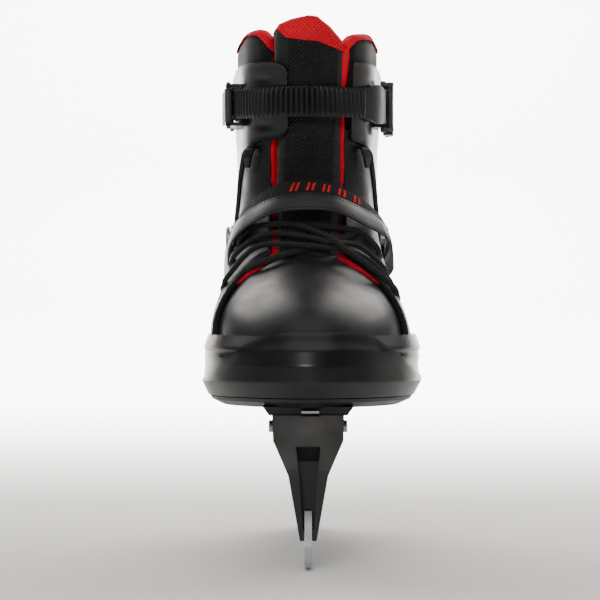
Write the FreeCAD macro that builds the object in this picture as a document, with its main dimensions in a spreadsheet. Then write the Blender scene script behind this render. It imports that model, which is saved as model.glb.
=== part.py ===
"""One ice skate: a padded lace-up boot with a hinged cuff, on a plastic blade holder with a steel blade.

Frame, in millimetres: +Z up, toe towards -Y, +X to the wearer's left of this right-foot skate (the inner side).
The origin is the middle of the blade's flat running edge, where it stands on the ice.
"""
import FreeCAD, Part
import math
import os

import Sketcher

V = FreeCAD.Vector
X_AXIS, Y_AXIS, Z_AXIS = V(1, 0, 0), V(0, 1, 0), V(0, 0, 1)

doc = FreeCAD.newDocument("ice_skate")

# ---------------------------------------------------------------- driving dimensions
SIZES = {
    # blade
    "blade_thick": 3.8, "blade_front": -149, "blade_rear": 141, "blade_top": 31,
    "blade_flat_half": 55, "blade_rise": 1.6,
    # blade holder
    "holder_front": -146, "holder_rear": 136, "rail_bottom": 16, "rail_top": 36,
    "deck_z": 80, "deck_thick": 5, "blade_gap": 0.1,
    # bolts
    "deck_bolt_radius": 3, "deck_head_radius": 5.2, "deck_head_height": 3.2,
    "blade_bolt_radius": 2.5, "blade_head_radius": 4.4, "blade_bolt_z": 25,
    # boot
    "sole_bottom_z": 84, "sole_seam_z": 89, "boot_floor_z": 91, "liner_floor_z": 97, "insole_thick": 4,
    "skin_thick": 1.8, "liner_thick": 7, "throat_half": 21, "collar_top_z": 290,
    # cuff hinge
    "pivot_y": 62, "pivot_z": 176, "pivot_radius": 4, "flex_forward": 10, "flex_back": 3,
    # ladder strap and buckles
    "strap_z": 251, "strap_width": 18.5, "strap_thick": 2.0, "tooth_height": 0.8, "tooth_pitch": 3.2,
    "anchor_x": 43.5, "anchor_y": 20, "anchor_pin_radius": 1.5,
    "tail_x": -41.2, "tail_end_y": 22, "lever_pin_x": -45.2, "lever_pin_y": 8,
    "pawl_pin_x": -43.6, "pawl_pin_y": 33, "buckle_pin_radius": 1.2, "running_gap": 0.05,
    # laces
    "lace_radius": 2.0, "eyelet_radius": 4.2, "eyelet_wire": 1.1,
}
sheet = doc.addObject("Spreadsheet::Sheet", "Sizes")
for row, (alias, value) in enumerate(SIZES.items(), start=1):
    sheet.set(f"A{row}", alias)
    sheet.set(f"B{row}", str(value))
    sheet.setAlias(f"B{row}", alias)
doc.recompute()

S = type("Sizes", (), {alias: float(sheet.get(alias)) for alias in SIZES})
FAR = 400.0  # longer than the skate, for cutting blocks
parts = {}


def keep(obj, label):
    """Registers a finished document object as one sub-part."""
    obj.Label = label
    parts[label] = obj
    return obj


def shape_part(label, shape):
    """A sub-part whose free-form shape is set directly."""
    feature = doc.addObject("Part::Feature", label)
    feature.Shape = shape
    return keep(feature, label)


def bind(obj, **expressions):
    for prop, expression in expressions.items():
        obj.setExpression(prop, expression)
    return obj


def cylinder(name, radius, height, base, axis=Z_AXIS):
    """A cylinder bound to the sheet: radius and height are expressions on its aliases."""
    body = doc.addObject("Part::Cylinder", name)
    bind(body, Radius=radius, Height=height)
    body.Placement = FreeCAD.Placement(base, FreeCAD.Rotation(Z_AXIS, axis))
    return body


def fuse(name, shapes):
    joined = doc.addObject("Part::MultiFuse", name)
    joined.Shapes = shapes
    return joined


def block(x0, x1, y0, y1, z0, z1):
    return Part.makeBox(x1 - x0, y1 - y0, z1 - z0, V(x0, y0, z0))


def side_prism(points, half_width=FAR, x_mid=0.0):
    """A prism across the skate from a side outline of (y, z) points."""
    corners = [V(x_mid - half_width, y, z) for y, z in points]
    return Part.Face(Part.makePolygon(corners + corners[:1])).extrude(V(2 * half_width, 0, 0))


# ---------------------------------------------------------------- the boot's form
# Each section: z, toe y, heel y, ball half-width left and right, waist half-width, heel half-width.
BOOT_SECTIONS = [
    (88, -134, 128, 45, 47, 34, 31),
    (100, -142, 134, 50, 52, 38, 35),
    (114, -143, 137, 51, 54, 39, 37),
    (128, -135, 138, 50, 52, 39, 37),
    (140, -118, 138, 47, 48, 39, 36),
    (150, -96, 137, 44, 44, 39, 36),
    (160, -73, 135, 42, 41, 38.5, 35.5),
    (170, -52, 132, 40, 39, 38, 35),
    (182, -33, 128, 38, 37, 37.5, 34),
    (196, -18, 123, 36, 35.5, 37, 33),
    (212, -11, 118, 35, 34.5, 36.5, 32.5),
    (232, -13, 112, 33.5, 33.5, 37, 33.5),
    (255, -19, 107, 34, 34, 38, 35),
    (275, -24, 104, 35, 35, 38.5, 35.5),
    (300, -30, 101, 35, 35, 38.5, 35.5),
]
# The hard base shell, outside.
BASE_SECTIONS = [
    (84, -136, 131, 46, 49, 37, 36),
    (87, -144, 138, 52, 55.5, 42, 41),
    (97, -151, 143, 56.5, 60.5, 45, 43.5),
    (106, -151, 144, 55.5, 59.5, 44.5, 43.5),
    (114, -148, 144, 56.5, 61, 45, 43.5),
    (122, -141, 143, 54, 58.5, 44, 42.5),
    (136, -126, 143, 52, 54, 45, 42.5),
    (152, -100, 143, 49.5, 50, 46.3, 43),
    (170, -64, 139, 47.4, 46.6, 45.5, 42.4),
    (190, -36, 133, 45, 44.5, 44.8, 41),
]
# Shares of the section's length, and of the width beside it, round one side of the outline.
OUTLINE = [(0.045, 0.5, "ball"), (0.13, 0.84, "ball"), (0.30, 1.0, "ball"), (0.55, 1.0, "waist"),
           (0.82, 1.0, "heel"), (0.955, 0.62, "heel")]
DOME_LOW, DOME_HIGH = 118.0, 196.0  # where the boot's top slopes towards the toe


def outline_wire(section, offset):
    """A closed shoe-shaped outline, grown outwards by offset."""
    z, toe, heel, ball_left, ball_right, waist, back = section
    toe, heel = toe - offset, heel + offset
    length = heel - toe
    if DOME_LOW < z < DOME_HIGH:
        z = z + 0.55 * offset * math.sin(math.pi * (z - DOME_LOW) / (DOME_HIGH - DOME_LOW))
    sides = []
    for sign, ball in ((-1, ball_left), (1, ball_right)):
        width = {"ball": ball + offset, "waist": waist + offset, "heel": back + offset}
        sides.append([V(sign * share * width[at], toe + along * length, z) for along, share, at in OUTLINE])
    points = [V(0, toe, z)] + sides[1] + [V(0, heel, z)] + sides[0][::-1]
    curve = Part.BSplineCurve()
    curve.interpolate(points, PeriodicFlag=True)
    return Part.Wire(curve.toShape())


forms = {}


def form(offset, sections=BOOT_SECTIONS):
    """The solid of the boot's form, grown outwards by offset."""
    key = (offset, len(sections))
    if key not in forms:
        forms[key] = Part.makeLoft([outline_wire(s, offset) for s in sections], True, sections is BASE_SECTIONS)
    return forms[key]


def shell(outer, inner, floor=None):
    """The wall between two offsets of the form. Above floor it is hollow; with no floor it is open below."""
    core = form(inner)
    if floor is not None:
        core = core.common(block(-FAR, FAR, -FAR, FAR, floor, FAR))
    return form(outer).cut(core)


def above(z):
    return block(-FAR, FAR, -FAR, FAR, z, FAR)


def below(z):
    return block(-FAR, FAR, -FAR, FAR, -FAR, z)


def hinge_line(degrees_front, degrees_rear, z_far):
    """Everything above (z_far high) or below (z_far low) two slopes that meet at the cuff's pivot."""
    reach = 260.0
    front = (S.pivot_y - reach, S.pivot_z + reach * math.tan(math.radians(degrees_front)))
    rear = (S.pivot_y + reach, S.pivot_z + reach * math.tan(math.radians(degrees_rear)))
    return side_prism([front, (S.pivot_y, S.pivot_z), rear, (rear[0], z_far), (front[0], z_far)])


# The soft boot bends at the ankle. Its lower half stays with the sole, and its upper half goes with the cuff.
LOW_SLOPE_FRONT, LOW_SLOPE_REAR, FLEX_MARGIN = 15.0, 9.0, 1.5
ankle_below = hinge_line(LOW_SLOPE_FRONT, LOW_SLOPE_REAR, -FAR)
ankle_above = hinge_line(LOW_SLOPE_FRONT + S.flex_forward + FLEX_MARGIN,
                         LOW_SLOPE_REAR + S.flex_back + FLEX_MARGIN, FAR + 100)

# The throat is open at the front, from the toe cap up.
THROAT_FOOT_Z, THROAT_BACK_Y, THROAT_SIDE = 158.0, 22.0, 0.6
throat = block(-S.throat_half, S.throat_half, -FAR, THROAT_BACK_Y, THROAT_FOOT_Z, FAR)

# The quarters start behind a slanted line, and lap over the toe cap.
LINE_TOP, LINE_FOOT, LAP = (-54.0, 172.0), (-94.0, 114.0), 14.0
slope = ((LINE_FOOT[0] - LINE_TOP[0]) / (LINE_FOOT[1] - LINE_TOP[1]))


def line_y(z):
    return LINE_TOP[0] + (z - LINE_TOP[1]) * slope


behind_line = side_prism([(line_y(60), 60), (line_y(320), 320), (FAR, 320), (FAR, 60)])
front_of_lap = side_prism([(line_y(60) + LAP, 60), (line_y(320) + LAP, 320), (-FAR, 320), (-FAR, 60)])

behind_cap = side_prism([(line_y(60) + LAP + THROAT_SIDE, 60), (line_y(320) + LAP + THROAT_SIDE, 320),
                         (FAR, 320), (FAR, 60)])
tongue_space = block(-S.throat_half + THROAT_SIDE, S.throat_half - THROAT_SIDE, -FAR,
                     THROAT_BACK_Y - THROAT_SIDE, THROAT_FOOT_Z, FAR).common(behind_cap)

SKIN_GAP = 0.3
QUARTER_OUT, QUARTER_IN = 2.2, 0.4
CAP_OUT, CAP_IN, CAP_TOP_Z = 0.0, -1.8, 186.0
LINER_OUT, LINER_IN = -2.2, -9.0


def toe_cap():
    hollow = shell(CAP_OUT, CAP_IN).common(block(-FAR, FAR, -FAR, 0, S.boot_floor_z + 6, CAP_TOP_Z))
    return biggest(hollow.common(front_of_lap))


def quarters():
    wall = shell(QUARTER_OUT, QUARTER_IN).common(behind_line).common(above(S.boot_floor_z + 6)).cut(throat)
    left_half, right_half = block(-FAR, 0, -FAR, FAR, -FAR, FAR), block(0, FAR, -FAR, FAR, -FAR, FAR)
    heel_seam = block(-0.2, 0.2, 0, FAR, -FAR, FAR)
    low = wall.common(ankle_below).cut(heel_seam)
    return low.common(left_half), low.common(right_half)


def lower_liner():
    return shell(LINER_OUT, LINER_IN, S.liner_floor_z).common(above(S.boot_floor_z + 3.1)).common(
        ankle_below).cut(throat.common(behind_cap))


def collar():
    """The padded top of the boot: outer cloth and foam in one, which goes with the cuff."""
    wall = shell(1.6, LINER_IN).common(ankle_above).common(below(S.collar_top_z)).cut(throat)
    return wall.removeSplitter()


def tongues():
    plate = shell(1.2, LINER_IN).common(tongue_space)
    return plate.common(ankle_below), plate.common(ankle_above).common(below(S.collar_top_z + 8))


def insole():
    slab = block(-FAR, FAR, -FAR, FAR, S.liner_floor_z + SKIN_GAP, S.liner_floor_z + SKIN_GAP + S.insole_thick)
    return form(LINER_IN - 0.5).common(slab)


def insole_board():
    """The stiff board that the skins are lasted round, over the tee nuts."""
    return form(-3.0).common(block(-FAR, FAR, -FAR, FAR, S.boot_floor_z + 1.6, S.boot_floor_z + 2.8))


# Bolts through the deck into the sole, and through the holder into the blade.
DECK_BOLTS = [(0, -112), (0, -62), (0, 68), (0, 114)]
BLADE_BOLTS = [-104.0, 98.0]


# Rim of the base shell: low at the toe and waist, high round the heel, with an arm up to each cuff pivot.
RIM_FRONT_Z, RIM_HEEL_Z, ARM_TOP_Z, ARM_HALF = 122.0, 146.0, 187.0, 13.0
BASE_INSIDE, ARM_INSIDE, ARM_FOOT_Z = 2.6, 5.3, 154.0
BUMPER_REAR_Y, BUMPER_SLANT, PART_GAP = -118.0, 26.0, 0.25


def base_core():
    """What the base shell leaves free: the soft boot, and higher up the cuff's lobes as well."""
    return form(BASE_INSIDE).common(above(S.boot_floor_z - 0.5)).fuse(form(ARM_INSIDE).common(above(ARM_FOOT_Z)))


def base_rim():
    arm_front, arm_rear = S.pivot_y - ARM_HALF, S.pivot_y + ARM_HALF
    return side_prism([(-FAR, S.sole_seam_z), (-FAR, RIM_FRONT_Z), (10, RIM_FRONT_Z), (arm_front - 8, 146),
                       (arm_front, ARM_TOP_Z - 8), (arm_front + 6, ARM_TOP_Z), (arm_rear - 6, ARM_TOP_Z),
                       (arm_rear, ARM_TOP_Z - 8), (arm_rear + 8, 152), (FAR, RIM_HEEL_Z), (FAR, S.sole_seam_z)])


def bumper_space(gap):
    """The part of the nose that the separate bumper fills."""
    return side_prism([(-FAR, S.sole_seam_z - 1 + gap), (BUMPER_REAR_Y + BUMPER_SLANT - gap, S.sole_seam_z - 1 + gap),
                       (BUMPER_REAR_Y - gap, RIM_FRONT_Z - gap), (BUMPER_REAR_Y - gap, RIM_FRONT_Z + 20),
                       (-FAR, RIM_FRONT_Z + 20)])


def pivot_hole(radius):
    return Part.makeCylinder(radius, 2 * FAR, V(-FAR, S.pivot_y, S.pivot_z), X_AXIS)


def biggest(shape, count=1):
    """The largest solids of a shape, without the crumbs that a cut leaves."""
    solids = sorted(shape.Solids, key=lambda solid: -solid.Volume)[:count]
    return solids[0] if count == 1 else Part.makeCompound(solids)


def base_shell():
    wall = form(0, BASE_SECTIONS).common(base_rim()).cut(base_core()).cut(bumper_space(0.0))
    for x, y in DECK_BOLTS:
        wall = wall.cut(Part.makeCylinder(S.deck_bolt_radius, 40, V(x, y, S.deck_z - 5), Z_AXIS))
    return biggest(wall.cut(pivot_hole(S.pivot_radius)))


def toe_bumper():
    nose = form(0, BASE_SECTIONS).common(base_rim()).cut(form(BASE_INSIDE)).common(bumper_space(PART_GAP))
    return biggest(nose.common(above(S.sole_seam_z + PART_GAP)))


# The outsole closes the boot below and carries a raised pad under the ball and under the heel.
TOE_PAD, HEEL_PAD = (-134.0, -28.0), (52.0, 132.0)
LUG_SLOT = (-3.5, 5.7, TOE_PAD[0] - 1.5, TOE_PAD[0] + 8.5, S.deck_z + 1.2, S.deck_z + 2.4)
PAD_TOP_HALF, PAD_FOOT_HALF = 23.5, 20.5


def pad(front, rear):
    """A raised pad with sloping sides, from the deck up to the outsole."""
    levels = []
    for z, half, inset in ((S.sole_bottom_z + 0.5, PAD_TOP_HALF, 0.0), (S.deck_z, PAD_FOOT_HALF, 3.0)):
        corners = [V(-half, front + inset, z), V(half, front + inset, z), V(half, rear - inset, z),
                   V(-half, rear - inset, z)]
        levels.append(Part.makePolygon(corners + corners[:1]))
    return Part.makeLoft(levels, True, True)


def outsole():
    slab = form(0, BASE_SECTIONS).common(below(S.sole_seam_z - PART_GAP))
    whole = slab.fuse(pad(*TOE_PAD)).fuse(pad(*HEEL_PAD))
    for x, y in DECK_BOLTS:
        whole = whole.cut(Part.makeCylinder(S.deck_bolt_radius, 40, V(x, y, S.deck_z - 20), Z_AXIS))
    return whole.cut(block(*LUG_SLOT)).removeSplitter()


# ---------------------------------------------------------------- blade and holder

def sketch(name, plane, edges):
    """A free-standing sketch of closed edges drawn in the plane's own (across, up) coordinates."""
    drawn = doc.addObject("Sketcher::SketchObject", name)
    turn = {"side": FreeCAD.Rotation(V(1, 1, 1), 120), "front": FreeCAD.Rotation(X_AXIS, 90)}[plane]
    drawn.Placement = FreeCAD.Placement(V(0, 0, 0), turn)
    for edge in edges:
        drawn.addGeometry(edge, False)
    return drawn


def outline(points):
    """Straight edges through (across, up) points, closed. A middle point given as a pair bends the edge into an arc."""
    edges, here = [], points[-1]
    bend = None
    for point in points:
        if isinstance(point[0], tuple):
            bend = point[0]
            continue
        a, b = V(*here, 0), V(*point, 0)
        edges.append(Part.Arc(a, V(*bend, 0), b) if bend else Part.LineSegment(a, b))
        here, bend = point, None
    return edges


def extrusion(name, drawn, length):
    """A sketch pushed out by length to both sides of its plane, the length bound to the sheet."""
    solid = doc.addObject("Part::Extrusion", name)
    solid.Base = drawn
    solid.DirMode = "Normal"
    solid.Symmetric = True
    solid.Solid = True
    solid.setExpression("LengthFwd", length)
    return solid


def cut(name, base, tools):
    tool = tools[0] if len(tools) == 1 else fuse(name + "_tools", tools)
    result = doc.addObject("Part::Cut", name)
    result.Base, result.Tool = base, tool
    return result


nose_y, tail_y, flat, rise, top = S.blade_front, S.blade_rear, S.blade_flat_half, S.blade_rise, S.blade_top
blade_side = outline([(-flat, 0), ((-100, 0.42),), (nose_y + 10, rise), ((nose_y + 2.6, 5.2),), (nose_y, 13),
                      (nose_y + 2, 24), (nose_y + 9, top), (tail_y - 8, top), (tail_y - 1, 24), (tail_y, 12),
                      ((tail_y - 2.4, 4.6),), (tail_y - 9, rise), ((100, 0.42),), (flat, 0)])
blade_blank = extrusion("blade_blank", sketch("blade_side", "side", blade_side), "Sizes.blade_thick")
blade_holes = [cylinder(f"blade_hole_{i}", "Sizes.blade_bolt_radius", "4 * Sizes.blade_thick",
                        V(-2 * S.blade_thick, y, S.blade_bolt_z), X_AXIS) for i, y in enumerate(BLADE_BOLTS)]
keep(cut("blade_cut", blade_blank, blade_holes), "blade")

HOLDER_PROFILE = [(-18.7, S.deck_z), (-18.3, 67), ((-13.8, 57),), (-10.3, 49), (-4.3, S.rail_bottom),
                  (4.3, S.rail_bottom), (10.3, 49), ((13.8, 57),), (18.3, 67), (18.7, S.deck_z)]
WINDOW_TOP = S.deck_z - S.deck_thick
HOLDER_SIDE = [(-132, S.deck_z), (-139, 52), (S.holder_front, S.rail_bottom), (S.holder_rear, S.rail_bottom),
               (134, 40), (129, S.deck_z), (50, S.deck_z), ((44, 62),), (30, S.rail_top + 6), ((24, S.rail_top + 1),),
               (14, S.rail_top), (-6, S.rail_top), ((-16, S.rail_top + 1),), (-22, S.rail_top + 6), ((-27, 62),),
               (-34, S.deck_z)]
holder_front = extrusion("holder_front", sketch("holder_profile", "front", outline(HOLDER_PROFILE)),
                         "2 * (Sizes.holder_rear - Sizes.holder_front)")
holder_side = extrusion("holder_side", sketch("holder_outline", "side", outline(HOLDER_SIDE)), "60")
holder_blank = doc.addObject("Part::MultiCommon", "holder_blank")
holder_blank.Shapes = [holder_front, holder_side]


def bound_box(name, corner, length, width, height):
    solid = doc.addObject("Part::Box", name)
    bind(solid, Length=length, Width=width, Height=height)
    solid.Placement.Base = corner
    return solid


SLOT_CLEAR, FACE_POCKET_DEPTH = 0.3, 7.0
slot_half = S.blade_thick / 2 + S.blade_gap
blade_slot = bound_box("blade_slot", V(-slot_half, -200, S.rail_bottom - 5),
                       "Sizes.blade_thick + 2 * Sizes.blade_gap", "400",
                       "Sizes.blade_top + 0.3 - Sizes.rail_bottom + 5")
face_pocket = extrusion("face_pocket", sketch("face_pocket_outline", "side", outline(
    [(-150, 64), (-133, 64), (-129, 56), (-134, 22), (-150, 22)])), "60")
pocket_width = extrusion("pocket_width", sketch("pocket_profile", "front", outline(
    [(-6.6, 66), (-4.6, 48), (-2.7, 20), (2.7, 20), (4.6, 48), (6.6, 66)])), "600")
trough = doc.addObject("Part::MultiCommon", "trough")
trough.Shapes = [face_pocket, pocket_width]
service_windows = [extrusion(f"service_window_{i}", sketch(f"service_outline_{i}", "side", outline(
    [(y - 12, 58), (y - 9, 55), (y + 9, 55), (y + 12, 58), (y + 12, WINDOW_TOP - 3), (y + 9, WINDOW_TOP),
     (y - 9, WINDOW_TOP), (y - 12, WINDOW_TOP - 3)])), "80") for i, (_, y) in enumerate(DECK_BOLTS)]
deck_holes = [cylinder(f"deck_hole_{i}", "Sizes.deck_bolt_radius + 0.2", "30", V(x, y, S.deck_z - 15))
              for i, (x, y) in enumerate(DECK_BOLTS)]
bolt_holes, counterbores = [], []
BOLT_WALL = 2.0
for i, y in enumerate(BLADE_BOLTS):
    bolt_holes.append(cylinder(f"bolt_hole_{i}", "Sizes.blade_bolt_radius", "40", V(-20, y, S.blade_bolt_z), X_AXIS))
    for j, side in enumerate((-1, 1)):
        counterbores.append(cylinder(f"counterbore_{i}_{j}", "Sizes.blade_head_radius + 0.2", "20",
                                     V(side * (slot_half + BOLT_WALL), y, S.blade_bolt_z), V(side, 0, 0)))
holder = cut("holder_cut", holder_blank,
             [blade_slot, trough] + service_windows + deck_holes + bolt_holes + counterbores)
keep(holder, "blade_holder")

bolts = [cylinder(f"deck_shank_{i}", "Sizes.deck_bolt_radius", "Sizes.deck_thick + 12.4",
                  V(x, y, WINDOW_TOP)) for i, (x, y) in enumerate(DECK_BOLTS)]
heads = [cylinder(f"deck_head_{i}", "Sizes.deck_head_radius", "Sizes.deck_head_height",
                  V(x, y, WINDOW_TOP - S.deck_head_height)) for i, (x, y) in enumerate(DECK_BOLTS)]
keep(fuse("deck_bolt_set", bolts + heads), "deck_bolts")

cross, nuts = [], []
for i, y in enumerate(BLADE_BOLTS):
    wall = slot_half + BOLT_WALL
    cross.append(cylinder(f"cross_shank_{i}", "Sizes.blade_bolt_radius", "Sizes.blade_thick + 2 * Sizes.blade_gap + 4",
                          V(-wall, y, S.blade_bolt_z), X_AXIS))
    cross.append(cylinder(f"cross_head_{i}", "Sizes.blade_head_radius", "1.6", V(-wall, y, S.blade_bolt_z), -X_AXIS))
    nuts.append(cylinder(f"cross_nut_{i}", "Sizes.blade_head_radius", "1.6", V(wall, y, S.blade_bolt_z), X_AXIS))
keep(fuse("cross_bolt_set", cross), "blade_bolts")
keep(fuse("cross_nut_set", nuts), "blade_nuts")

side_screws = []
for i, (y, z) in enumerate(((-100, 73), (96, 73))):
    for j, side in enumerate((-1, 1)):
        side_screws.append(cylinder(f"side_screw_{i}_{j}", "3.2", "2.2", V(side * 18.65, y, z), V(side, 0, 0)))
keep(fuse("side_screw_set", side_screws), "tower_side_screws")

plate = bound_box("mount_plate_box", V(-3.5, TOE_PAD[0] - 1.5, S.deck_z + 1.2), "9.2", "10", "1.2")
keep(plate, "toe_lug")

tee_nuts = []
for i, (x, y) in enumerate(DECK_BOLTS):
    nut = cut(f"tee_nut_{i}", cylinder(f"tee_flange_{i}", "9", "1.9", V(x, y, S.boot_floor_z - 0.5)),
              [cylinder(f"tee_bore_{i}", "Sizes.deck_bolt_radius", "20", V(x, y, S.boot_floor_z - 5))])
    tee_nuts.append(nut)
keep(fuse("tee_nut_set", tee_nuts), "tee_nuts")



# ---------------------------------------------------------------- cuff
CUFF_IN, CUFF_OUT, WING_EDGE, INNER_EDGE, CUFF_BACK_EXTRA = 2.6, 4.6, -12.0, 34.0, 1.2
CUFF_SIDE = [(41, 178), (46, 164), (56, 157.5), (68, 157.5), (78, 164), (92, 186), (104, 192), (FAR, 196),
             (FAR, 268), (95, 272), (60, 266), (30, 272), (-FAR, 272), (-FAR, 231), (-6, 230), (16, 224), (34, 204)]


def cuff():
    """The hinged cuff: round the back and sides, with a wing across the front on the outer side."""
    wall = form(CUFF_OUT).cut(form(CUFF_IN)).common(side_prism(CUFF_SIDE))
    gap_in_front = block(WING_EDGE, INNER_EDGE, -FAR, 40, 0, FAR).fuse(block(0, FAR, -FAR, 2, 0, FAR))
    return biggest(wall.cut(gap_in_front).cut(pivot_hole(S.pivot_radius + 0.1)))


def rivet(side):
    """A pivot rivet: the shank through arm and cuff, a domed head outside and a washer inside."""
    inner_x = side * 38.2
    shank = Part.makeCylinder(S.pivot_radius - 0.05, 9.0, V(inner_x, S.pivot_y, S.pivot_z), V(side, 0, 0))
    head = Part.makeCone(7.0, 5.2, 1.6, V(side * 46.3, S.pivot_y, S.pivot_z), V(side, 0, 0))
    return shank.fuse(head).cut(form(QUARTER_OUT + 0.2))


# ---------------------------------------------------------------- ladder strap
STRAP_LOW, STRAP_HIGH = S.strap_z - S.strap_width / 2, S.strap_z + S.strap_width / 2
TAIL_R = S.anchor_x - S.tail_x
FLARE_HALF, TEETH_FROM_X, CHEEK_GAP, CHEEK = 11.6, 22.0, 0.5, 2.2


def tail_point(y):
    """A point of the tail's middle line, on a circle round the anchor pin."""
    return V(S.anchor_x - math.sqrt(TAIL_R ** 2 - (y - S.anchor_y) ** 2), y, 0)


def strap_path():
    front = [V(43.4, 15.5, 0), V(42.2, 6, 0), V(36.5, -6, 0), V(21.5, -18.6, 0), V(0, -25.2, 0), V(-21, -20.4, 0),
             V(-33.6, -9.8, 0)]
    curve = Part.BSplineCurve()
    curve.interpolate(front + [tail_point(y) for y in (1, 8, 15, S.tail_end_y)])
    return curve


def ladder_strap():
    """The toothed strap: a curved band with cross ridges, a flared root and a knuckle on the anchor pin."""
    path = strap_path()
    count = int(path.length() / S.tooth_pitch)
    inner, outer = [], []
    for i in range(count * 4 + 1):
        at = path.parameterAtDistance(path.length() * i / (count * 4), path.FirstParameter)
        point, tangent = path.value(at), path.tangent(at)[0]
        normal = tangent.cross(Z_AXIS)
        if normal.dot(point - V(0, 40, 0)) < 0:
            normal = -normal
        raised = i % 4 in (1, 2) and point.x < TEETH_FROM_X
        inner.append(point - normal * (S.strap_thick / 2))
        outer.append(point + normal * (S.strap_thick / 2 + (S.tooth_height if raised else 0)))
    ring = [V(p.x, p.y, S.strap_z - FLARE_HALF) for p in inner + outer[::-1]]
    band = Part.Face(Part.makePolygon(ring + ring[:1])).extrude(V(0, 0, 2 * FLARE_HALF))
    for side in (-1, 1):
        edge, lip = S.strap_z + side * S.strap_width / 2, S.strap_z + side * (FLARE_HALF + 1)
        corners = [V(-FAR, -FAR, edge), V(20, -FAR, edge), V(31, -FAR, S.strap_z + side * FLARE_HALF),
                   V(31, -FAR, lip), V(-FAR, -FAR, lip)]
        band = band.cut(Part.Face(Part.makePolygon(corners + corners[:1])).extrude(V(0, 2 * FAR, 0)))
        band = band.cut(block(36, FAR, 8, FAR, min(edge, lip), max(edge, lip)))
    knuckle = Part.makeCylinder(3.1, S.strap_width, V(S.anchor_x, S.anchor_y, STRAP_LOW), Z_AXIS)
    pin_hole = Part.makeCylinder(S.anchor_pin_radius + S.running_gap, 60, V(S.anchor_x, S.anchor_y, 220), Z_AXIS)
    neck = block(S.anchor_x - 1.4, S.anchor_x + 1.2, 14.5, S.anchor_y, STRAP_LOW, STRAP_HIGH)
    return band.fuse(knuckle).fuse(neck).cut(pin_hole).removeSplitter()


# ---------------------------------------------------------------- buckle on the outer side
CHEEK_LOW, CHEEK_HIGH = STRAP_LOW - CHEEK_GAP, STRAP_HIGH + CHEEK_GAP
SEAT = CUFF_OUT + 0.05
LEVER_LOW, LEVER_HIGH = CHEEK_LOW + 0.3, CHEEK_HIGH - 0.3


def pin(x, y, radius, over=1.4):
    return Part.makeCylinder(radius, CHEEK_HIGH - CHEEK_LOW + 2 * (CHEEK + over), V(x, y, CHEEK_LOW - CHEEK - over),
                             Z_AXIS)


def ratchet_base():
    """The buckle's base: a floor under the strap and a cheek above and below it."""
    floor = block(S.tail_x + 1.3, -34, 3, 42, CHEEK_LOW - CHEEK, CHEEK_HIGH + CHEEK)
    cheeks = [side_outline_plate([(2, S.tail_x + 6), (2, -43.4), (5, -46.6), (30, -46.6), (38, -44.6), (41, -38),
                                  (41, -34), (2, -34)], z) for z in (CHEEK_LOW - CHEEK, CHEEK_HIGH)]
    track = Part.makeCylinder(TAIL_R + 3, CHEEK_HIGH - CHEEK_LOW, V(S.anchor_x, S.anchor_y, CHEEK_LOW), Z_AXIS).cut(
        Part.makeCylinder(TAIL_R - S.strap_thick / 2 - 0.4, 60, V(S.anchor_x, S.anchor_y, CHEEK_LOW - 10), Z_AXIS))
    whole = floor.cut(track).fuse(cheeks[0]).fuse(cheeks[1])
    for x, y in ((S.lever_pin_x, S.lever_pin_y), (S.pawl_pin_x, S.pawl_pin_y)):
        whole = whole.cut(pin(x, y, S.buckle_pin_radius, 5))
    return biggest(whole.cut(form(SEAT)))


def side_outline_plate(points, z, thick=CHEEK):
    """A plate flat in plan, from (y, x) corners."""
    corners = [V(x, y, z) for y, x in points]
    return Part.Face(Part.makePolygon(corners + corners[:1])).extrude(V(0, 0, thick))


def ratchet_lever():
    """The tightening lever: a knuckle on its pin and a plate that lies over the pawl."""
    x, y = S.lever_pin_x, S.lever_pin_y
    knuckle = Part.makeCylinder(1.95, LEVER_HIGH - LEVER_LOW, V(x, y, LEVER_LOW), Z_AXIS)
    plate = side_outline_plate([(y - 1.6, x - 1.0), (y + 4, x - 1.0), (y + 24, x - 1.4), (y + 33, x - 3.2),
                                (y + 33.6, x - 4.4), (y + 24, x - 2.9), (y + 4, x - 2.6), (y - 1.2, x - 1.9)],
                               LEVER_LOW, LEVER_HIGH - LEVER_LOW)
    bore = pin(x, y, S.buckle_pin_radius + S.running_gap, 5)
    return knuckle.fuse(plate).cut(bore).removeSplitter()


def ratchet_pawl():
    """The locking pawl: its nose points forward over the teeth and its tail is the release tab."""
    x, y = S.pawl_pin_x, S.pawl_pin_y
    low, high = S.strap_z - 6.5, S.strap_z + 6.5
    crest = S.tail_x - S.strap_thick / 2 - S.tooth_height
    knuckle = Part.makeCylinder(1.75, high - low, V(x, y, low), Z_AXIS)
    arm = side_outline_plate([(y, x + 1.1), (17.5, crest - 0.75), (15.2, crest - 0.3), (15, crest - 1.5),
                              (y, x - 1.1), (y + 6, x - 0.4), (y + 6, x + 1.2)], low, high - low)
    return knuckle.fuse(arm).cut(pin(x, y, S.buckle_pin_radius + S.running_gap, 5)).removeSplitter()


def coil_spring():
    """A torsion spring's coil round the pawl pin, above the knuckle."""
    wire, turns, pitch, radius = 0.3, 3, 0.75, 1.65
    start = V(S.pawl_pin_x, S.pawl_pin_y, S.strap_z + 6.9)
    helix = Part.makeHelix(pitch, pitch * turns, radius)
    helix.translate(start)
    ring = Part.Wire(Part.makeCircle(wire, start + V(radius, 0, 0), Y_AXIS))
    return Part.Wire(helix).makePipeShell([ring], True, True)


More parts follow.
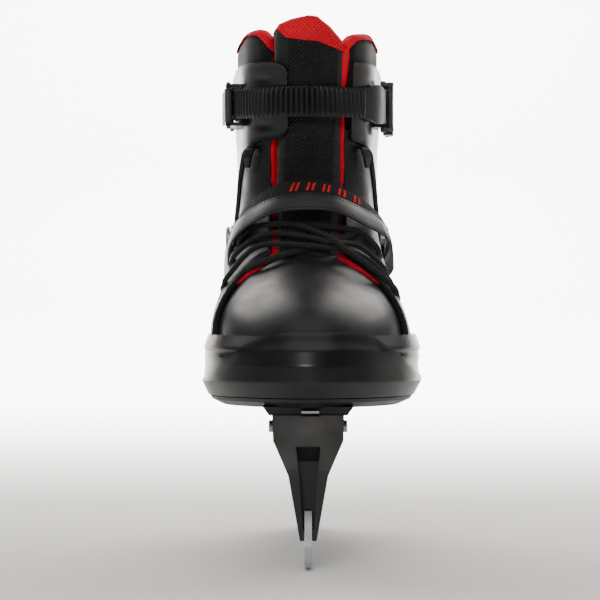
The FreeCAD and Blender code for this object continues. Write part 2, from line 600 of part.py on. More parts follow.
# ---------------------------------------------------------------- anchor on the inner side
def anchor_bracket():
    """The strap's anchor: a foot on the cuff and a cheek above and below the strap's knuckle."""
    x, y = S.anchor_x, S.anchor_y
    foot = block(34, 41.2, y - 6, y + 22, CHEEK_LOW - CHEEK, CHEEK_HIGH + CHEEK)
    foot = foot.cut(Part.makeCylinder(3.4, 2 * FAR, V(x, y, 0), Z_AXIS)).cut(block(0, FAR, -FAR, y, CHEEK_LOW, CHEEK_HIGH))
    cheeks = [side_outline_plate([(y - 4, 34), (y - 4, x), (y - 2.4, x + 2.6), (y + 2.4, x + 2.6), (y + 10, 41.2),
                                  (y + 22, 41.2), (y + 22, 34)], z) for z in (CHEEK_LOW - CHEEK, CHEEK_HIGH)]
    whole = foot.fuse(cheeks[0]).fuse(cheeks[1]).cut(form(SEAT))
    return biggest(whole.cut(pin(x, y, S.anchor_pin_radius, 5)))


LATCH_GAP, LATCH_EAR, LATCH_OUT, LATCH_FOOT_Z = 0.3, 1.8, 49.6, 235.0


def anchor_latch():
    """The latch plate over the anchor pin, with an ear above and below and a finger lip at its foot."""
    x, y = S.anchor_x, S.anchor_y
    low, high = CHEEK_LOW - CHEEK - LATCH_GAP, CHEEK_HIGH + CHEEK + LATCH_GAP
    ears = [side_outline_plate([(y - 2.6, x - 1.6), (y - 2.6, LATCH_OUT), (y + 8, LATCH_OUT), (y + 6, x + 2.4),
                                (y + 2.6, x - 1.6)], z, LATCH_EAR) for z in (low - LATCH_EAR, high)]
    plate = side_outline_plate([(y + 4, LATCH_OUT - 1.8), (y + 4.6, LATCH_OUT), (y + 16, LATCH_OUT),
                                (y + 24, LATCH_OUT - 2.6), (y + 24, LATCH_OUT - 4.2), (y + 16, LATCH_OUT - 1.8)],
                               LATCH_FOOT_Z, high + LATCH_EAR - LATCH_FOOT_Z)
    lip = side_outline_plate([(y + 1, x + 0.2), (y + 1, LATCH_OUT - 1), (y + 12, LATCH_OUT - 1), (y + 10, x + 0.2)],
                             LATCH_FOOT_Z, 1.6)
    bore = pin(x, y, S.anchor_pin_radius + S.running_gap, 8)
    return ears[0].fuse(ears[1]).fuse(plate).fuse(lip).cut(bore).removeSplitter()


def buckle_pins():
    return Part.makeCompound([pin(S.lever_pin_x, S.lever_pin_y, S.buckle_pin_radius),
                              pin(S.pawl_pin_x, S.pawl_pin_y, S.buckle_pin_radius)])


def anchor_pin():
    return pin(S.anchor_x, S.anchor_y, S.anchor_pin_radius, LATCH_GAP + LATCH_EAR + 0.8)


# ---------------------------------------------------------------- instep strap, laces and small soft parts
def band(stations, thick):
    """A strap through stations of (middle, width direction, outward normal, width)."""
    rings = []
    for middle, across, normal, width in stations:
        a = V(*across).normalize() * (width / 2)
        n = V(*normal).normalize() * (thick / 2)
        m = V(*middle)
        corners = [m - a - n, m + a - n, m + a + n, m - a + n]
        rings.append(Part.makePolygon(corners + corners[:1]))
    return Part.makeLoft(rings, True, True)


INSTEP_STATIONS = [
    ((-47.0, 26, 158.0), (0.0, 0.55, 0.85), (-1, -0.1, 0.1), 25),
    ((-46.4, 10, 168.0), (0.05, 0.55, 0.83), (-1, -0.3, 0.2), 25),
    ((-42.5, -7, 178.0), (0.2, 0.58, 0.8), (-0.85, -0.5, 0.5), 26),
    ((-34.0, -22, 187.0), (0.25, 0.62, 0.76), (-0.6, -0.65, 0.5), 26),
    ((-19.0, -34, 195.5), (0.15, 0.66, 0.74), (-0.3, -0.75, 0.62), 24),
    ((-2.0, -37.6, 198.5), (0.0, 0.68, 0.73), (0.0, -0.75, 0.66), 23),
    ((15.0, -35, 196.5), (-0.15, 0.66, 0.74), (0.28, -0.75, 0.62), 24),
    ((31.6, -24.4, 189), (-0.25, 0.62, 0.76), (0.6, -0.62, 0.5), 26),
    ((43.2, -10.4, 179.4), (-0.2, 0.58, 0.8), (0.85, -0.45, 0.4), 24),
    ((49.0, 1, 168.0), (-0.05, 0.5, 0.86), (1, -0.2, 0.1), 21),
    ((51.8, 7, 158.0), (0.0, 0.4, 0.9), (1, -0.1, 0.1), 12),
]
INSTEP_THICK = 2.6


def instep_strap():
    return band(INSTEP_STATIONS, INSTEP_THICK)


def strap_rivets():
    """Two rivets that hold the strap's root to the base shell's outer side, just clear of the strap."""
    return Part.makeCompound([Part.makeCylinder(3.0, 1.2, V(-43.6, y, z), -X_AXIS) for y, z in ((30, 148), (36, 156))])


# Each run of lace goes over the boot in a tilted plane: the middle's Y and Z, and how far down each side it ends.
LACE_PASSES = [(-67.5, 168.5, 46.2, 46.5), (-55.5, 176.0, 45.4, 46.0), (-45.5, 183.0, 44.4, 45.4)]
LACE_TILT = V(0, 0.78, 0.62)


def lace_points(middle_y, middle_z, left_reach, right_reach):
    """Points of one run, lying on the boot: the plane's cut through the form, sampled by distance across."""
    at = LACE_TILT.normalize() * 1.0
    cut_wires = form(QUARTER_OUT + S.lace_radius + 0.35).slice(at, at.dot(V(0, middle_y, middle_z)))
    ring = max(cut_wires, key=lambda wire: wire.Length).discretize(Number=900)
    top = [p for p in ring if p.z > 132]
    points = []
    for share in (-1.0, -0.985, -0.93, -0.8, -0.6, -0.3, 0.0, 0.3, 0.6, 0.8, 0.93, 0.985, 1.0):
        x = share * (left_reach if share < 0 else right_reach)
        near = [p for p in top if abs(p.x - x) < 0.8] or [min(top, key=lambda p: abs(p.x - x))]
        points.append(max(near, key=lambda p: p.z))
    return [p for p, q in zip(points, points[1:] + [None]) if q is None or (q - p).Length > 1.5]


def lace_tube(points):
    curve = Part.BSplineCurve()
    curve.interpolate(points)
    start, first = curve.value(curve.FirstParameter), curve.tangent(curve.FirstParameter)[0]
    ring = Part.Wire(Part.makeCircle(S.lace_radius, start, first))
    return Part.Wire(curve.toShape()).makePipeShell([ring], True, False, 2)


lace_runs = [lace_points(*run) for run in LACE_PASSES]


def eyelets():
    """Metal rings on both sides of the throat, just past the laces' ends."""
    rings = []
    for run in lace_runs:
        for end, before in ((run[0], run[1]), (run[-1], run[-2])):
            along = (end - before).normalize()
            outward = V(1 if end.x > 0 else -1, 0, 0)
            outward = (outward - along * outward.dot(along)).normalize()
            centre = end + along * (S.eyelet_radius + 1.0) - outward * (S.lace_radius + 0.2)
            rings.append(Part.makeTorus(S.eyelet_radius - S.eyelet_wire, S.eyelet_wire, centre, outward))
    return Part.makeCompound([biggest(ring.cut(form(QUARTER_OUT + 0.05))) for ring in rings])


def lace_hooks():
    """Two moulded hooks beside the throat, above the ankle."""
    hooks = []
    for side in (-1, 1):
        foot = block(-4.5, 4.5, -1.2, 1.2, -4.6, 6)
        lip = block(-4.5, 4.5, -5.0, -3.0, -4.6, 4).fuse(block(-4.5, 4.5, -5.0, 0, -4.6, -2.4))
        hook = foot.fuse(lip).removeSplitter()
        hook.Placement = FreeCAD.Placement(V(side * 29.5, -10.3, 221), FreeCAD.Rotation(Z_AXIS, side * 42))
        hooks.append(hook.cut(form(1.8)))
    return Part.makeCompound([biggest(hook) for hook in hooks])


def heel_loop():
    """The webbing pull loop at the back of the collar."""
    return band([((0, 112.2, 262), (1, 0, 0), (0, 1, 0), 14), ((0, 117.5, 268), (1, 0, 0), (0, 1, -0.4), 14),
                 ((0, 119.6, 277), (1, 0, 0), (0, 1, 0), 14), ((0, 116.5, 286), (1, 0, 0), (0, 1, 0.6), 14),
                 ((0, 109.4, 291.5), (1, 0, 0), (0, 0.6, 1), 14)], 1.6)


def cuff_screws():
    """The screws that hold the buckle's base and the anchor to the cuff, from inside their rear ends."""
    outer = Part.makeCylinder(3.0, 1.5, V(-44.3, 50.5, S.strap_z), -X_AXIS)
    inner = Part.makeCylinder(3.0, 1.5, V(43.9, 50.5, S.strap_z), X_AXIS)
    return Part.makeCompound([outer.cut(form(SEAT)), inner.cut(form(SEAT))])


SHAPED = {"toe_cap": toe_cap(), "liner_lower": lower_liner(), "collar": collar(), "insole": insole(),
          "insole_board": insole_board(), "base_shell": base_shell(), "toe_bumper": toe_bumper(),
          "outsole": outsole(), "cuff": cuff(), "cuff_rivets": Part.makeCompound([rivet(-1), rivet(1)]),
          "ladder_strap": ladder_strap(), "ratchet_base": ratchet_base(), "ratchet_lever": ratchet_lever(),
          "ratchet_pawl": ratchet_pawl(), "pawl_spring": coil_spring(), "buckle_pins": buckle_pins(),
          "anchor_bracket": anchor_bracket(), "anchor_latch": anchor_latch(), "anchor_pin": anchor_pin(),
          "cuff_screws": cuff_screws(), "instep_strap": instep_strap(), "strap_rivets": strap_rivets(),
          "lace": Part.makeCompound([lace_tube(run) for run in lace_runs]), "eyelets": eyelets(), "lace_hooks": lace_hooks(), "heel_loop": heel_loop()}
SHAPED.update(zip(("quarter_outer", "quarter_inner"), quarters()))
SHAPED.update(zip(("tongue_lower", "tongue_upper"), tongues()))
for name, shape in SHAPED.items():
    shape_part(name, shape)

doc.recompute()
for obj in doc.Objects:
    if {"Invalid", "Error"} & set(obj.State):
        raise RuntimeError(f"{obj.Label} did not recompute: {obj.State}")
for label, obj in parts.items():
    if obj.Shape.isNull() or not obj.Shape.isValid():
        raise RuntimeError(f"{label} has no sound shape")

os.makedirs("parts", exist_ok=True)
for label, obj in parts.items():
    obj.Shape.exportStep(f"parts/{label}.step")
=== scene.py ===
import math

import bmesh
import bpy
import numpy as np
from mathutils import Matrix, Vector


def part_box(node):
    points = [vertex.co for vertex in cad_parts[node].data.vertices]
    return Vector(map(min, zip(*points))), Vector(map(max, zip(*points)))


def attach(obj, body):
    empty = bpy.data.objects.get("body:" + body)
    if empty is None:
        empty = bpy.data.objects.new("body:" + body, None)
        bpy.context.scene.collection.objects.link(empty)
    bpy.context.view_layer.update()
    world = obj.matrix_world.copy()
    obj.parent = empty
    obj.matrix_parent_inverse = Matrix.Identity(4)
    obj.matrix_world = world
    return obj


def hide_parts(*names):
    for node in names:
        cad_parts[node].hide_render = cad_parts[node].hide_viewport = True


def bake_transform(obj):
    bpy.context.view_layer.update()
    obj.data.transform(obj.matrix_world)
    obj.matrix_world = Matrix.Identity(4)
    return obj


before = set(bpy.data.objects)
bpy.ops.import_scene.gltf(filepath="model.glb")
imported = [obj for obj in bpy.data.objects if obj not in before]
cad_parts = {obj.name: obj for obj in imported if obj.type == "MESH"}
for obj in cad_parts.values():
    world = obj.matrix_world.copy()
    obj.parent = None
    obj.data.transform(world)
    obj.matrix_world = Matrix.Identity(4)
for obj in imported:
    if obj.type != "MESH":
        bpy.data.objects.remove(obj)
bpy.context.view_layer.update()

MM = 0.001

# Blade: a hardened steel runner, 3.8 mm thick, ground along its length and polished by the ice at its foot.
# It is clamped in the holder's slot by two cross bolts, so only its lower edge and its two ends show.


def finish(name, colour, roughness=0.5, metallic=0.0, **plain):
    """A new material. Values that are the same all over sit on the shader's own sockets."""
    made = bpy.data.materials.new(name)
    made.use_nodes = True
    sockets = made.node_tree.nodes["Principled BSDF"].inputs
    sockets["Specular IOR Level"].default_value = 0.3
    sockets["Base Color"].default_value = (*colour, 1.0)
    sockets["Roughness"].default_value = roughness
    sockets["Metallic"].default_value = metallic
    for socket, value in plain.items():
        sockets[socket.replace("_", " ")].default_value = value
    return made


def add(tree, kind, inputs=None, **settings):
    """One node, its inputs linked or set by name or number."""
    made = tree.nodes.new("ShaderNode" + kind)
    for key, value in settings.items():
        setattr(made, key, value)
    for key, value in (inputs or {}).items():
        if isinstance(value, bpy.types.NodeSocket):
            tree.links.new(value, made.inputs[key])
        else:
            made.inputs[key].default_value = value
    return made


def effect(name, inputs):
    """A shader node group that reads a place and numbers, and gives a bump height and a shade, both 0 to 1."""
    tree = bpy.data.node_groups.new(name, "ShaderNodeTree")
    tree.interface.new_socket("Place", in_out="INPUT", socket_type="NodeSocketVector")
    for label, value in inputs.items():
        tree.interface.new_socket(label, in_out="INPUT", socket_type="NodeSocketFloat").default_value = value
    for label in ("Height", "Shade"):
        tree.interface.new_socket(label, in_out="OUTPUT", socket_type="NodeSocketFloat")
    return tree, tree.nodes.new("NodeGroupInput").outputs, tree.nodes.new("NodeGroupOutput").inputs


def textured(material, group, values, second, rough, bump, coordinates="Object", turn=(0, 0, 0)):
    """Puts an effect on a material: it mixes in a second colour, moves the roughness, and drives the bump."""
    tree = material.node_tree
    shader = tree.nodes["Principled BSDF"]
    place = add(tree, "Mapping", {"Vector": add(tree, "TexCoord").outputs[coordinates], "Rotation": turn})
    look = add(tree, "Group", node_tree=group)
    tree.links.new(place.outputs[0], look.inputs["Place"])
    for label, value in values.items():
        look.inputs[label].default_value = value
    base = shader.inputs["Base Color"].default_value
    mix = add(tree, "Mix", {0: look.outputs["Shade"]}, data_type="RGBA")
    mix.inputs[6].default_value, mix.inputs[7].default_value = base, (*second, 1.0)
    tree.links.new(mix.outputs[2], shader.inputs["Base Color"])
    spread = add(tree, "MapRange", {"Value": look.outputs["Shade"], "To Min": rough[0], "To Max": rough[1]})
    tree.links.new(spread.outputs[0], shader.inputs["Roughness"])
    dent = add(tree, "Bump", {"Height": look.outputs["Height"], "Strength": bump[0], "Distance": bump[1]})
    tree.links.new(dent.outputs[0], shader.inputs["Normal"])
    return material


def coat(node, material):
    """Gives a CAD node its material."""
    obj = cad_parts[node]
    obj.data.materials.clear()
    obj.data.materials.append(material)


ground, put, out = effect("ground lines", {"Lines": 2400.0, "Along": 0.02})
stretch = add(ground, "CombineXYZ", {"X": 1.0, "Y": put["Along"], "Z": 1.0})
drawn = add(ground, "VectorMath", {0: put["Place"], 1: stretch.outputs[0]}, operation="MULTIPLY")
lines = add(ground, "TexNoise", {"Vector": drawn.outputs[0], "Scale": put["Lines"], "Detail": 3.0})
smears = add(ground, "TexNoise", {"Vector": put["Place"], "Scale": 60.0, "Detail": 4.0})
ground.links.new(lines.outputs[0], out["Height"])
ground.links.new(smears.outputs[0], out["Shade"])
blade_steel = textured(finish("blade steel", (0.55, 0.56, 0.58), 0.26, 1.0), ground, {}, (0.42, 0.43, 0.45),
                       (0.18, 0.38), (0.12, 0.0001))
coat("blade", blade_steel)

# Blade holder: one black glass-filled nylon moulding, bolted up into the sole. Its faces have a fine spark
# texture from the mould, dulled by handling, and its towers carry a screw on each side.
moulding, put, out = effect("mould texture", {"Grain": 1400.0, "Marks": 45.0})
spark = add(moulding, "TexNoise", {"Vector": put["Place"], "Scale": put["Grain"], "Detail": 2.0, "Roughness": 0.6})
handling = add(moulding, "TexNoise", {"Vector": put["Place"], "Scale": put["Marks"], "Detail": 5.0})
contrast = add(moulding, "MapRange", {"Value": handling.outputs[0], "From Min": 0.35, "From Max": 0.7})
moulding.links.new(spark.outputs[0], out["Height"])
moulding.links.new(contrast.outputs[0], out["Shade"])


def plastic(name, colour, rough, bump=(0.25, 0.00012), **plain):
    second = tuple(channel * 1.3 + 0.001 for channel in colour)
    return textured(finish(name, colour, rough[0], **plain), moulding, {}, second, rough, bump)


holder_nylon = plastic("holder nylon", (0.0036, 0.0036, 0.0039), (0.36, 0.5))
coat("blade_holder", holder_nylon)
bright_zinc = textured(finish("bright zinc", (0.5, 0.51, 0.52), 0.34, 1.0), ground, {"Along": 1.0},
                       (0.36, 0.37, 0.39), (0.25, 0.5), (0.1, 0.0001))
for fastener in ("deck_bolts", "blade_bolts", "blade_nuts", "tower_side_screws", "tee_nuts", "toe_lug",
                 "pawl_spring", "cuff_screws"):
    coat(fastener, bright_zinc)

# Outsole: a stiff black plastic sole plate with a raised pad under the ball and the heel, which the holder's
# towers are bolted to. It is glued and screwed to the base shell along the seam above it.
SEAM_Z = 89.0
# Sections of the boot's last and of the base shell: height, toe, heel, half-widths of ball left, ball right,
# waist and heel.
BOOT_LAST = [(88, -134, 128, 45, 47, 34, 31), (100, -142, 134, 50, 52, 38, 35), (114, -143, 137, 51, 54, 39, 37),
             (128, -135, 138, 50, 52, 39, 37), (140, -118, 138, 47, 48, 39, 36), (150, -96, 137, 44, 44, 39, 36),
             (160, -73, 135, 42, 41, 38.5, 35.5), (170, -52, 132, 40, 39, 38, 35),
             (182, -33, 128, 38, 37, 37.5, 34), (196, -18, 123, 36, 35.5, 37, 33),
             (212, -11, 118, 35, 34.5, 36.5, 32.5), (232, -13, 112, 33.5, 33.5, 37, 33.5),
             (255, -19, 107, 34, 34, 38, 35), (275, -24, 104, 35, 35, 38.5, 35.5), (300, -30, 101, 35, 35,
                     38.5, 35.5)]
SHELL_LAST = [(84, -136, 131, 46, 49, 37, 36), (87, -144, 138, 52, 55.5, 42, 41), (97, -151, 143, 56.5, 60.5,
        45, 43.5),
              (106, -151, 144, 55.5, 59.5, 44.5, 43.5), (114, -148, 144, 56.5, 61, 45, 43.5),
              (122, -141, 143, 54, 58.5, 44, 42.5), (136, -126, 143, 52, 54, 45, 42.5),
              (152, -100, 143, 49.5, 50, 46.3, 43), (170, -64, 139, 47.4, 46.6, 45.5, 42.4),
              (190, -36, 133, 45, 44.5, 44.8, 41)]
SHARES = [(0.045, 0.5, 0), (0.13, 0.84, 0), (0.30, 1.0, 0), (0.55, 1.0, 1), (0.82, 1.0, 2), (0.955, 0.62, 2)]
AROUND, FINE = 280, 6


def spline(points, closed):
    """A cubic spline through points, spaced by the distances between them: returns a function of the index."""
    p = np.array(points, float)
    n = len(p)
    gap = np.linalg.norm(np.roll(p, -1, 0) - p, axis=1)
    system, pull = np.zeros((n, n)), np.zeros_like(p)
    for i in range(n):
        if not closed and i in (0, n - 1):
            system[i, i] = 1.0
            continue
        before, after = gap[i - 1], gap[i]
        system[i, i - 1], system[i, i], system[i, (i + 1) % n] = before, 2 * (before + after), after
        pull[i] = 6 * ((p[(i + 1) % n] - p[i]) / after - (p[i] - p[i - 1]) / before)
    bend = np.linalg.solve(system, pull)

    def at(index):
        i = int(index) if closed else min(int(index), n - 2)
        s, a, b = index - i, i % n, (i + 1) % n
        g = gap[a]
        return (p[a] * (1 - s) + p[b] * s
                - g * g / 6 * (bend[a] * (1 - s) * (2 - s) * s + bend[b] * s * (1 - s * s)))
    return at


def last_table(sections, offset, smooth):
    """The last as a table of points in mm: up the sections, and round the outline from the toe."""
    rings = []
    for z, toe, heel, left, right, waist, back in sections:
        toe, heel = toe - offset, heel + offset
        if smooth and 118 < z < 196:
            z = z + 0.55 * offset * math.sin(math.pi * (z - 118) / 78)
        half = [[(right, waist, back)[at] + offset for _, _, at in SHARES],
                [(left, waist, back)[at] + offset for _, _, at in SHARES]]
        sides = [[(sign * share * width, toe + along * (heel - toe), z)
                  for (along, share, _), width in zip(SHARES, half[k])] for k, sign in enumerate((1, -1))]
        ring = spline([(0, toe, z)] + sides[0] + [(0, heel, z)] + sides[1][::-1], True)
        rings.append([ring(14.0 * k / AROUND) for k in range(AROUND + 1)])
    rings = np.array(rings)
    if not smooth:
        return rings
    climb = np.linspace(0, len(sections) - 1, FINE * (len(sections) - 1) + 1)
    curve = spline(rings.reshape(len(sections), -1), False)
    return np.array([curve(i) for i in climb]).reshape(len(climb), AROUND + 1, 3)


lasts = {"boot": {offset: last_table(BOOT_LAST, offset, True) for offset in (-10, 0, 6)},
         "shell": {offset: last_table(SHELL_LAST, offset, False) for offset in (-6, 0, 4)}}


def on_last(turn, z, offset, last="boot"):
    """A point on the last in mm: turn is 0 at the toe, 1 at the heel, plus on the inner side, minus on the outer."""
    column = (turn % 2.0) / 2.0 * AROUND
    k = min(int(column), AROUND - 1)
    known = sorted(lasts[last])
    low = known[0] if offset <= known[1] else known[1]
    high = known[known.index(low) + 1]
    found = []
    for level in (low, high):
        table = lasts[last][level]
        heights = table[:, 0, 2]
        row = float(np.interp(z, heights, np.arange(len(heights))))
        r = min(int(row), len(heights) - 2)
        cell = table[r:r + 2, k:k + 2]
        across = cell[:, 0] + (cell[:, 1] - cell[:, 0]) * (column - k)
        found.append(across[0] + (across[1] - across[0]) * (row - r))
    share = (offset - low) / (high - low)
    point = found[0] + (found[1] - found[0]) * share
    return Vector((point[0], point[1], z))


def skin(name, columns, rows, place, wall=0.0, bevel=0.0):
    """A fine grid laid by place(across, up), both 0 to 1, in mm. A wall goes inwards from it, with round edges."""
    mesh = bmesh.new()
    bmesh.ops.create_grid(mesh, x_segments=columns, y_segments=rows, size=0.5)
    shares = {v: (v.co.x + 0.5, v.co.y + 0.5) for v in mesh.verts}
    for v, (across, up) in shares.items():
        v.co = place(across, up) * MM
    middle = [place(k / 24, 0.5) * MM for k in range(25)]
    height = [place(0.5, k / 24) * MM for k in range(25)]
    size = [sum((b - a).length for a, b in zip(run, run[1:])) for run in (middle, height)]
    layer = mesh.loops.layers.uv.new("UVMap")
    for face in mesh.faces:
        for loop in face.loops:
            across, up = shares[loop.vert]
            loop[layer].uv = (across * size[0], up * size[1])
    bmesh.ops.remove_doubles(mesh, verts=mesh.verts, dist=0.00002)
    mesh.normal_update()
    outwards = sum(face.normal.dot(face.calc_center_median() - Vector((0, 0.02, face.calc_center_median().z)))
                   for face in mesh.faces)
    if outwards < 0:
        bmesh.ops.reverse_faces(mesh, faces=mesh.faces)
    return made_of(name, mesh, wall, bevel)


def made_of(name, mesh, wall=0.0, bevel=0.0, segments=3):
    data = bpy.data.meshes.new(name)
    for face in mesh.faces:
        face.smooth = True
    mesh.to_mesh(data)
    mesh.free()
    obj = bpy.data.objects.new(name, data)
    bpy.context.scene.collection.objects.link(obj)
    if wall:
        thick = obj.modifiers.new("wall", "SOLIDIFY")
        thick.thickness, thick.offset, thick.use_even_offset = wall * MM, -1.0, True
    if bevel:
        edge = obj.modifiers.new("edge", "BEVEL")
        edge.width, edge.segments, edge.limit_method = bevel * MM, segments, "ANGLE"
        edge.angle_limit, edge.harden_normals = math.radians(38), True
    return obj


def dress(obj, material, body, *nodes, slot=None):
    """Material, body and the CAD nodes that the piece stands for."""
    obj.data.materials.clear()
    obj.data.materials.append(material)
    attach(obj, body)
    if nodes:
        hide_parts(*nodes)
    return obj


sole_plastic = plastic("sole plastic", (0.014, 0.014, 0.015), (0.38, 0.5))
coat("outsole", sole_plastic)

# Base shell: the hard outer shell that cradles the foot, moulded in one with its floor and its two hinge arms.
# Semi-gloss black plastic, about 3 mm thick, with a soft crease along each side and a rolled rim.
RIM = ([-160, 10, 38, 45, 49, 54, 62, 70, 75, 79, 86, 100, 150],
       [121, 122, 139, 150, 176, 186, 187.5, 186, 176, 158, 149, 146, 146])


def shell_rim(turn):
    z = 130.0
    for _ in range(6):
        z = 0.5 * z + 0.5 * float(np.interp(on_last(turn, z, 0, "shell").y, *RIM))
    return z


shell_turns = np.concatenate([np.linspace(0, 0.56, 60), np.linspace(0.565, 0.75, 60), np.linspace(0.755, 1.0, 26)])
shell_turns = np.concatenate([-shell_turns[::-1], shell_turns[1:]])
rim_heights = [shell_rim(turn) for turn in shell_turns]


def on_shell(across, up):
    index = across * (len(shell_turns) - 1)
    turn = float(np.interp(index, np.arange(len(shell_turns)), shell_turns))
    top = float(np.interp(index, np.arange(len(shell_turns)), rim_heights))
    z = SEAM_Z + 0.3 + (top - SEAM_Z - 0.3) * up
    crease = 0.8 * math.exp(-((z - 112.5) / 1.6) ** 2) * min(1.0, max(0.0, (0.8 - abs(turn)) * 4))
    return on_last(turn, z, -crease, "shell")


shell_plastic = plastic("shell plastic", (0.0065, 0.0065, 0.0073), (0.3, 0.42), (0.12, 0.0001), Coat_Weight=0.15)
base_shell = skin("base_shell_moulding", len(shell_turns) - 1, 46, on_shell, 2.9, 1.0)
dress(base_shell, shell_plastic, "boot", "base_shell", slot="shell_plastic")

# Toe bumper: a glossier moulding clipped over the nose. Its top edge is a flat arch with a raised lip, its face
# is slightly hollow, and a short slot on each side takes the clip; each slot is drawn as painted shade, a
# flattened dark lozenge laid on the face, not cut in.
ARCH = ([-60, -53, -44, -33, -21, -11, 22, 35, 47, 57, 64],
        [97, 99, 108, 117, 121.5, 123.4, 123.4, 120.5, 112, 102, 98])
bumper_turns = np.linspace(-0.395, 0.395, 121)


def bumper_top(turn):
    z = 110.0
    for _ in range(8):
        z = 0.5 * z + 0.5 * float(np.interp(on_last(turn, z, 1, "shell").x, *ARCH))
    return z


bumper_tops = [bumper_top(turn) for turn in bumper_turns]


def on_bumper(across, up):
    turn = float(np.interp(across * 120, np.arange(121), bumper_turns))
    top = float(np.interp(across * 120, np.arange(121), bumper_tops))
    edge = min(1.0, (1 - up) * (top - SEAM_Z) / 6.0)
    rise = 1.0 * min(1.0, max(0.0, (top - 98) / 12))
    lip = 0.8 + rise * (1 - edge * edge * (3 - 2 * edge))
    return on_last(turn, SEAM_Z + 0.3 + (top - SEAM_Z - 0.3) * up, lip, "shell")


bumper_gloss = plastic("bumper gloss", (0.0070, 0.0073, 0.0080), (0.36, 0.42), (0.05, 0.0001), Coat_Weight=0.2,
                       Coat_Roughness=0.22)
bumper = skin("toe_bumper_moulding", 120, 36, on_bumper, 2.6, 0.9)
dress(bumper, bumper_gloss, "boot", "toe_bumper", slot="bumper_plastic")
# Painted shade: a near-black flattened lozenge on the bumper's face, standing in for the shade inside each slot.
painted_slot_shade = plastic("painted slot shade", (0.002, 0.002, 0.002), (0.8, 0.9))
for side, (turn, z) in {"outer": (-0.262, 110.6), "inner": (0.262, 111.2)}.items():
    mesh = bmesh.new()
    bmesh.ops.create_uvsphere(mesh, u_segments=24, v_segments=12, radius=1.0)
    here, there = on_last(turn, z, 1.0, "shell"), on_last(turn + math.copysign(0.03, turn), z - 0.7, 1.0, "shell")
    along = (there - here).normalized()
    out_way = Vector((along.y, -along.x, 0)).normalized()
    out_way = out_way if out_way.y < 0 else -out_way
    frame_turn = Matrix((along, out_way, along.cross(out_way))).transposed().to_4x4()
    bmesh.ops.transform(mesh, verts=mesh.verts, matrix=Matrix.Diagonal((3.2, 0.45, 0.75, 1)))
    bmesh.ops.transform(mesh, verts=mesh.verts, matrix=frame_turn)
    bmesh.ops.translate(mesh, verts=mesh.verts, vec=here)
    bmesh.ops.scale(mesh, verts=mesh.verts, vec=(MM, MM, MM))
    dress(made_of(f"bumper_painted_slot_shade_{side}", mesh), painted_slot_shade, "boot", slot="bumper_plastic")

# Toe cap: one piece of smooth, dark grey coated leather, lasted tight over the toes and tucked under the
# quarters behind. It has a low even sheen and hardly any grain.
hide, put, out = effect("leather grain", {"Pores": 900.0, "Creases": 90.0, "Depth": 1.0})
wander = add(hide, "TexNoise", {"Vector": put["Place"], "Scale": 300.0, "Detail": 3.0})
bent = add(hide, "VectorMath", {0: wander.outputs[1], 3: 0.0012}, operation="SCALE")
shifted = add(hide, "VectorMath", {0: put["Place"], 1: bent.outputs[0]}, operation="ADD")
cells = add(hide, "TexVoronoi", {"Vector": shifted.outputs[0], "Scale": put["Pores"]}, feature="DISTANCE_TO_EDGE")
pebble = add(hide, "MapRange", {"Value": cells.outputs[0], "From Max": 0.25})
soft = add(hide, "TexNoise", {"Vector": put["Place"], "Scale": put["Creases"], "Detail": 5.0})
sum_up = add(hide, "Math", {0: pebble.outputs[0], 1: put["Depth"], 2: soft.outputs[0]}, operation="MULTIPLY_ADD")
hide.links.new(sum_up.outputs[0], out["Height"])
worn = add(hide, "MapRange", {"Value": soft.outputs[0], "From Min": 0.35, "From Max": 0.68})
hide.links.new(worn.outputs[0], out["Shade"])

cap_leather = textured(finish("cap leather", (0.0180, 0.0186, 0.0204), 0.4), hide, {"Depth": 0.35},
                       (0.0216, 0.0222, 0.0240), (0.36, 0.44), (0.1, 0.0001))
CAP_TURNS = np.linspace(-0.56, 0.56, 141)


def on_cap(across, up):
    turn = float(np.interp(across * 140, np.arange(141), CAP_TURNS))
    low = 95.0
    return on_last(turn, low + (184 - low) * up, 0.0)


def keep_side(obj, point, way):
    """Trims a piece with a plane: what lies on the plus side of way goes."""
    mesh = bmesh.new()
    mesh.from_mesh(obj.data)
    bmesh.ops.bisect_plane(mesh, geom=mesh.verts[:] + mesh.edges[:] + mesh.faces[:], dist=1e-7,
                           plane_co=Vector(point) * MM, plane_no=Vector(way), clear_outer=True)
    mesh.to_mesh(obj.data)
    mesh.free()
    return obj


LINE_TOP = Vector((0, -54, 172))
line_way = Vector((0, 58, -40)).normalized()
toe_cap = keep_side(skin("toe_cap_leather", 140, 90, on_cap, 1.7, 0.4), LINE_TOP + Vector((0, 14, 0)), line_way)
dress(toe_cap, cap_leather, "boot", "toe_cap", slot="grey_leather")

# Quarters: the leather sides of the boot, cut with a slanted front edge that laps over the toe cap and an open
# throat. A stitched binding runs round the edge. Above the ankle they turn into the padded collar.
THROAT_HALF = 21.0
quarter_leather = textured(finish("quarter leather", (0.0080, 0.0083, 0.0095), 0.45), hide, {"Pores": 700.0},
                           (0.0120, 0.0120, 0.0135), (0.4, 0.55), (0.35, 0.00025))


def bent_at_ankle(obj):
    """Soft pieces that cross the ankle bend between the sole and the cuff: bakes the piece's transform into its mesh.
    """
    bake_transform(obj)
    return obj


def soft_piece(obj, material, *nodes, slot):
    obj.data.materials.append(material)
    if nodes:
        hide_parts(*nodes)
    return bent_at_ankle(obj)


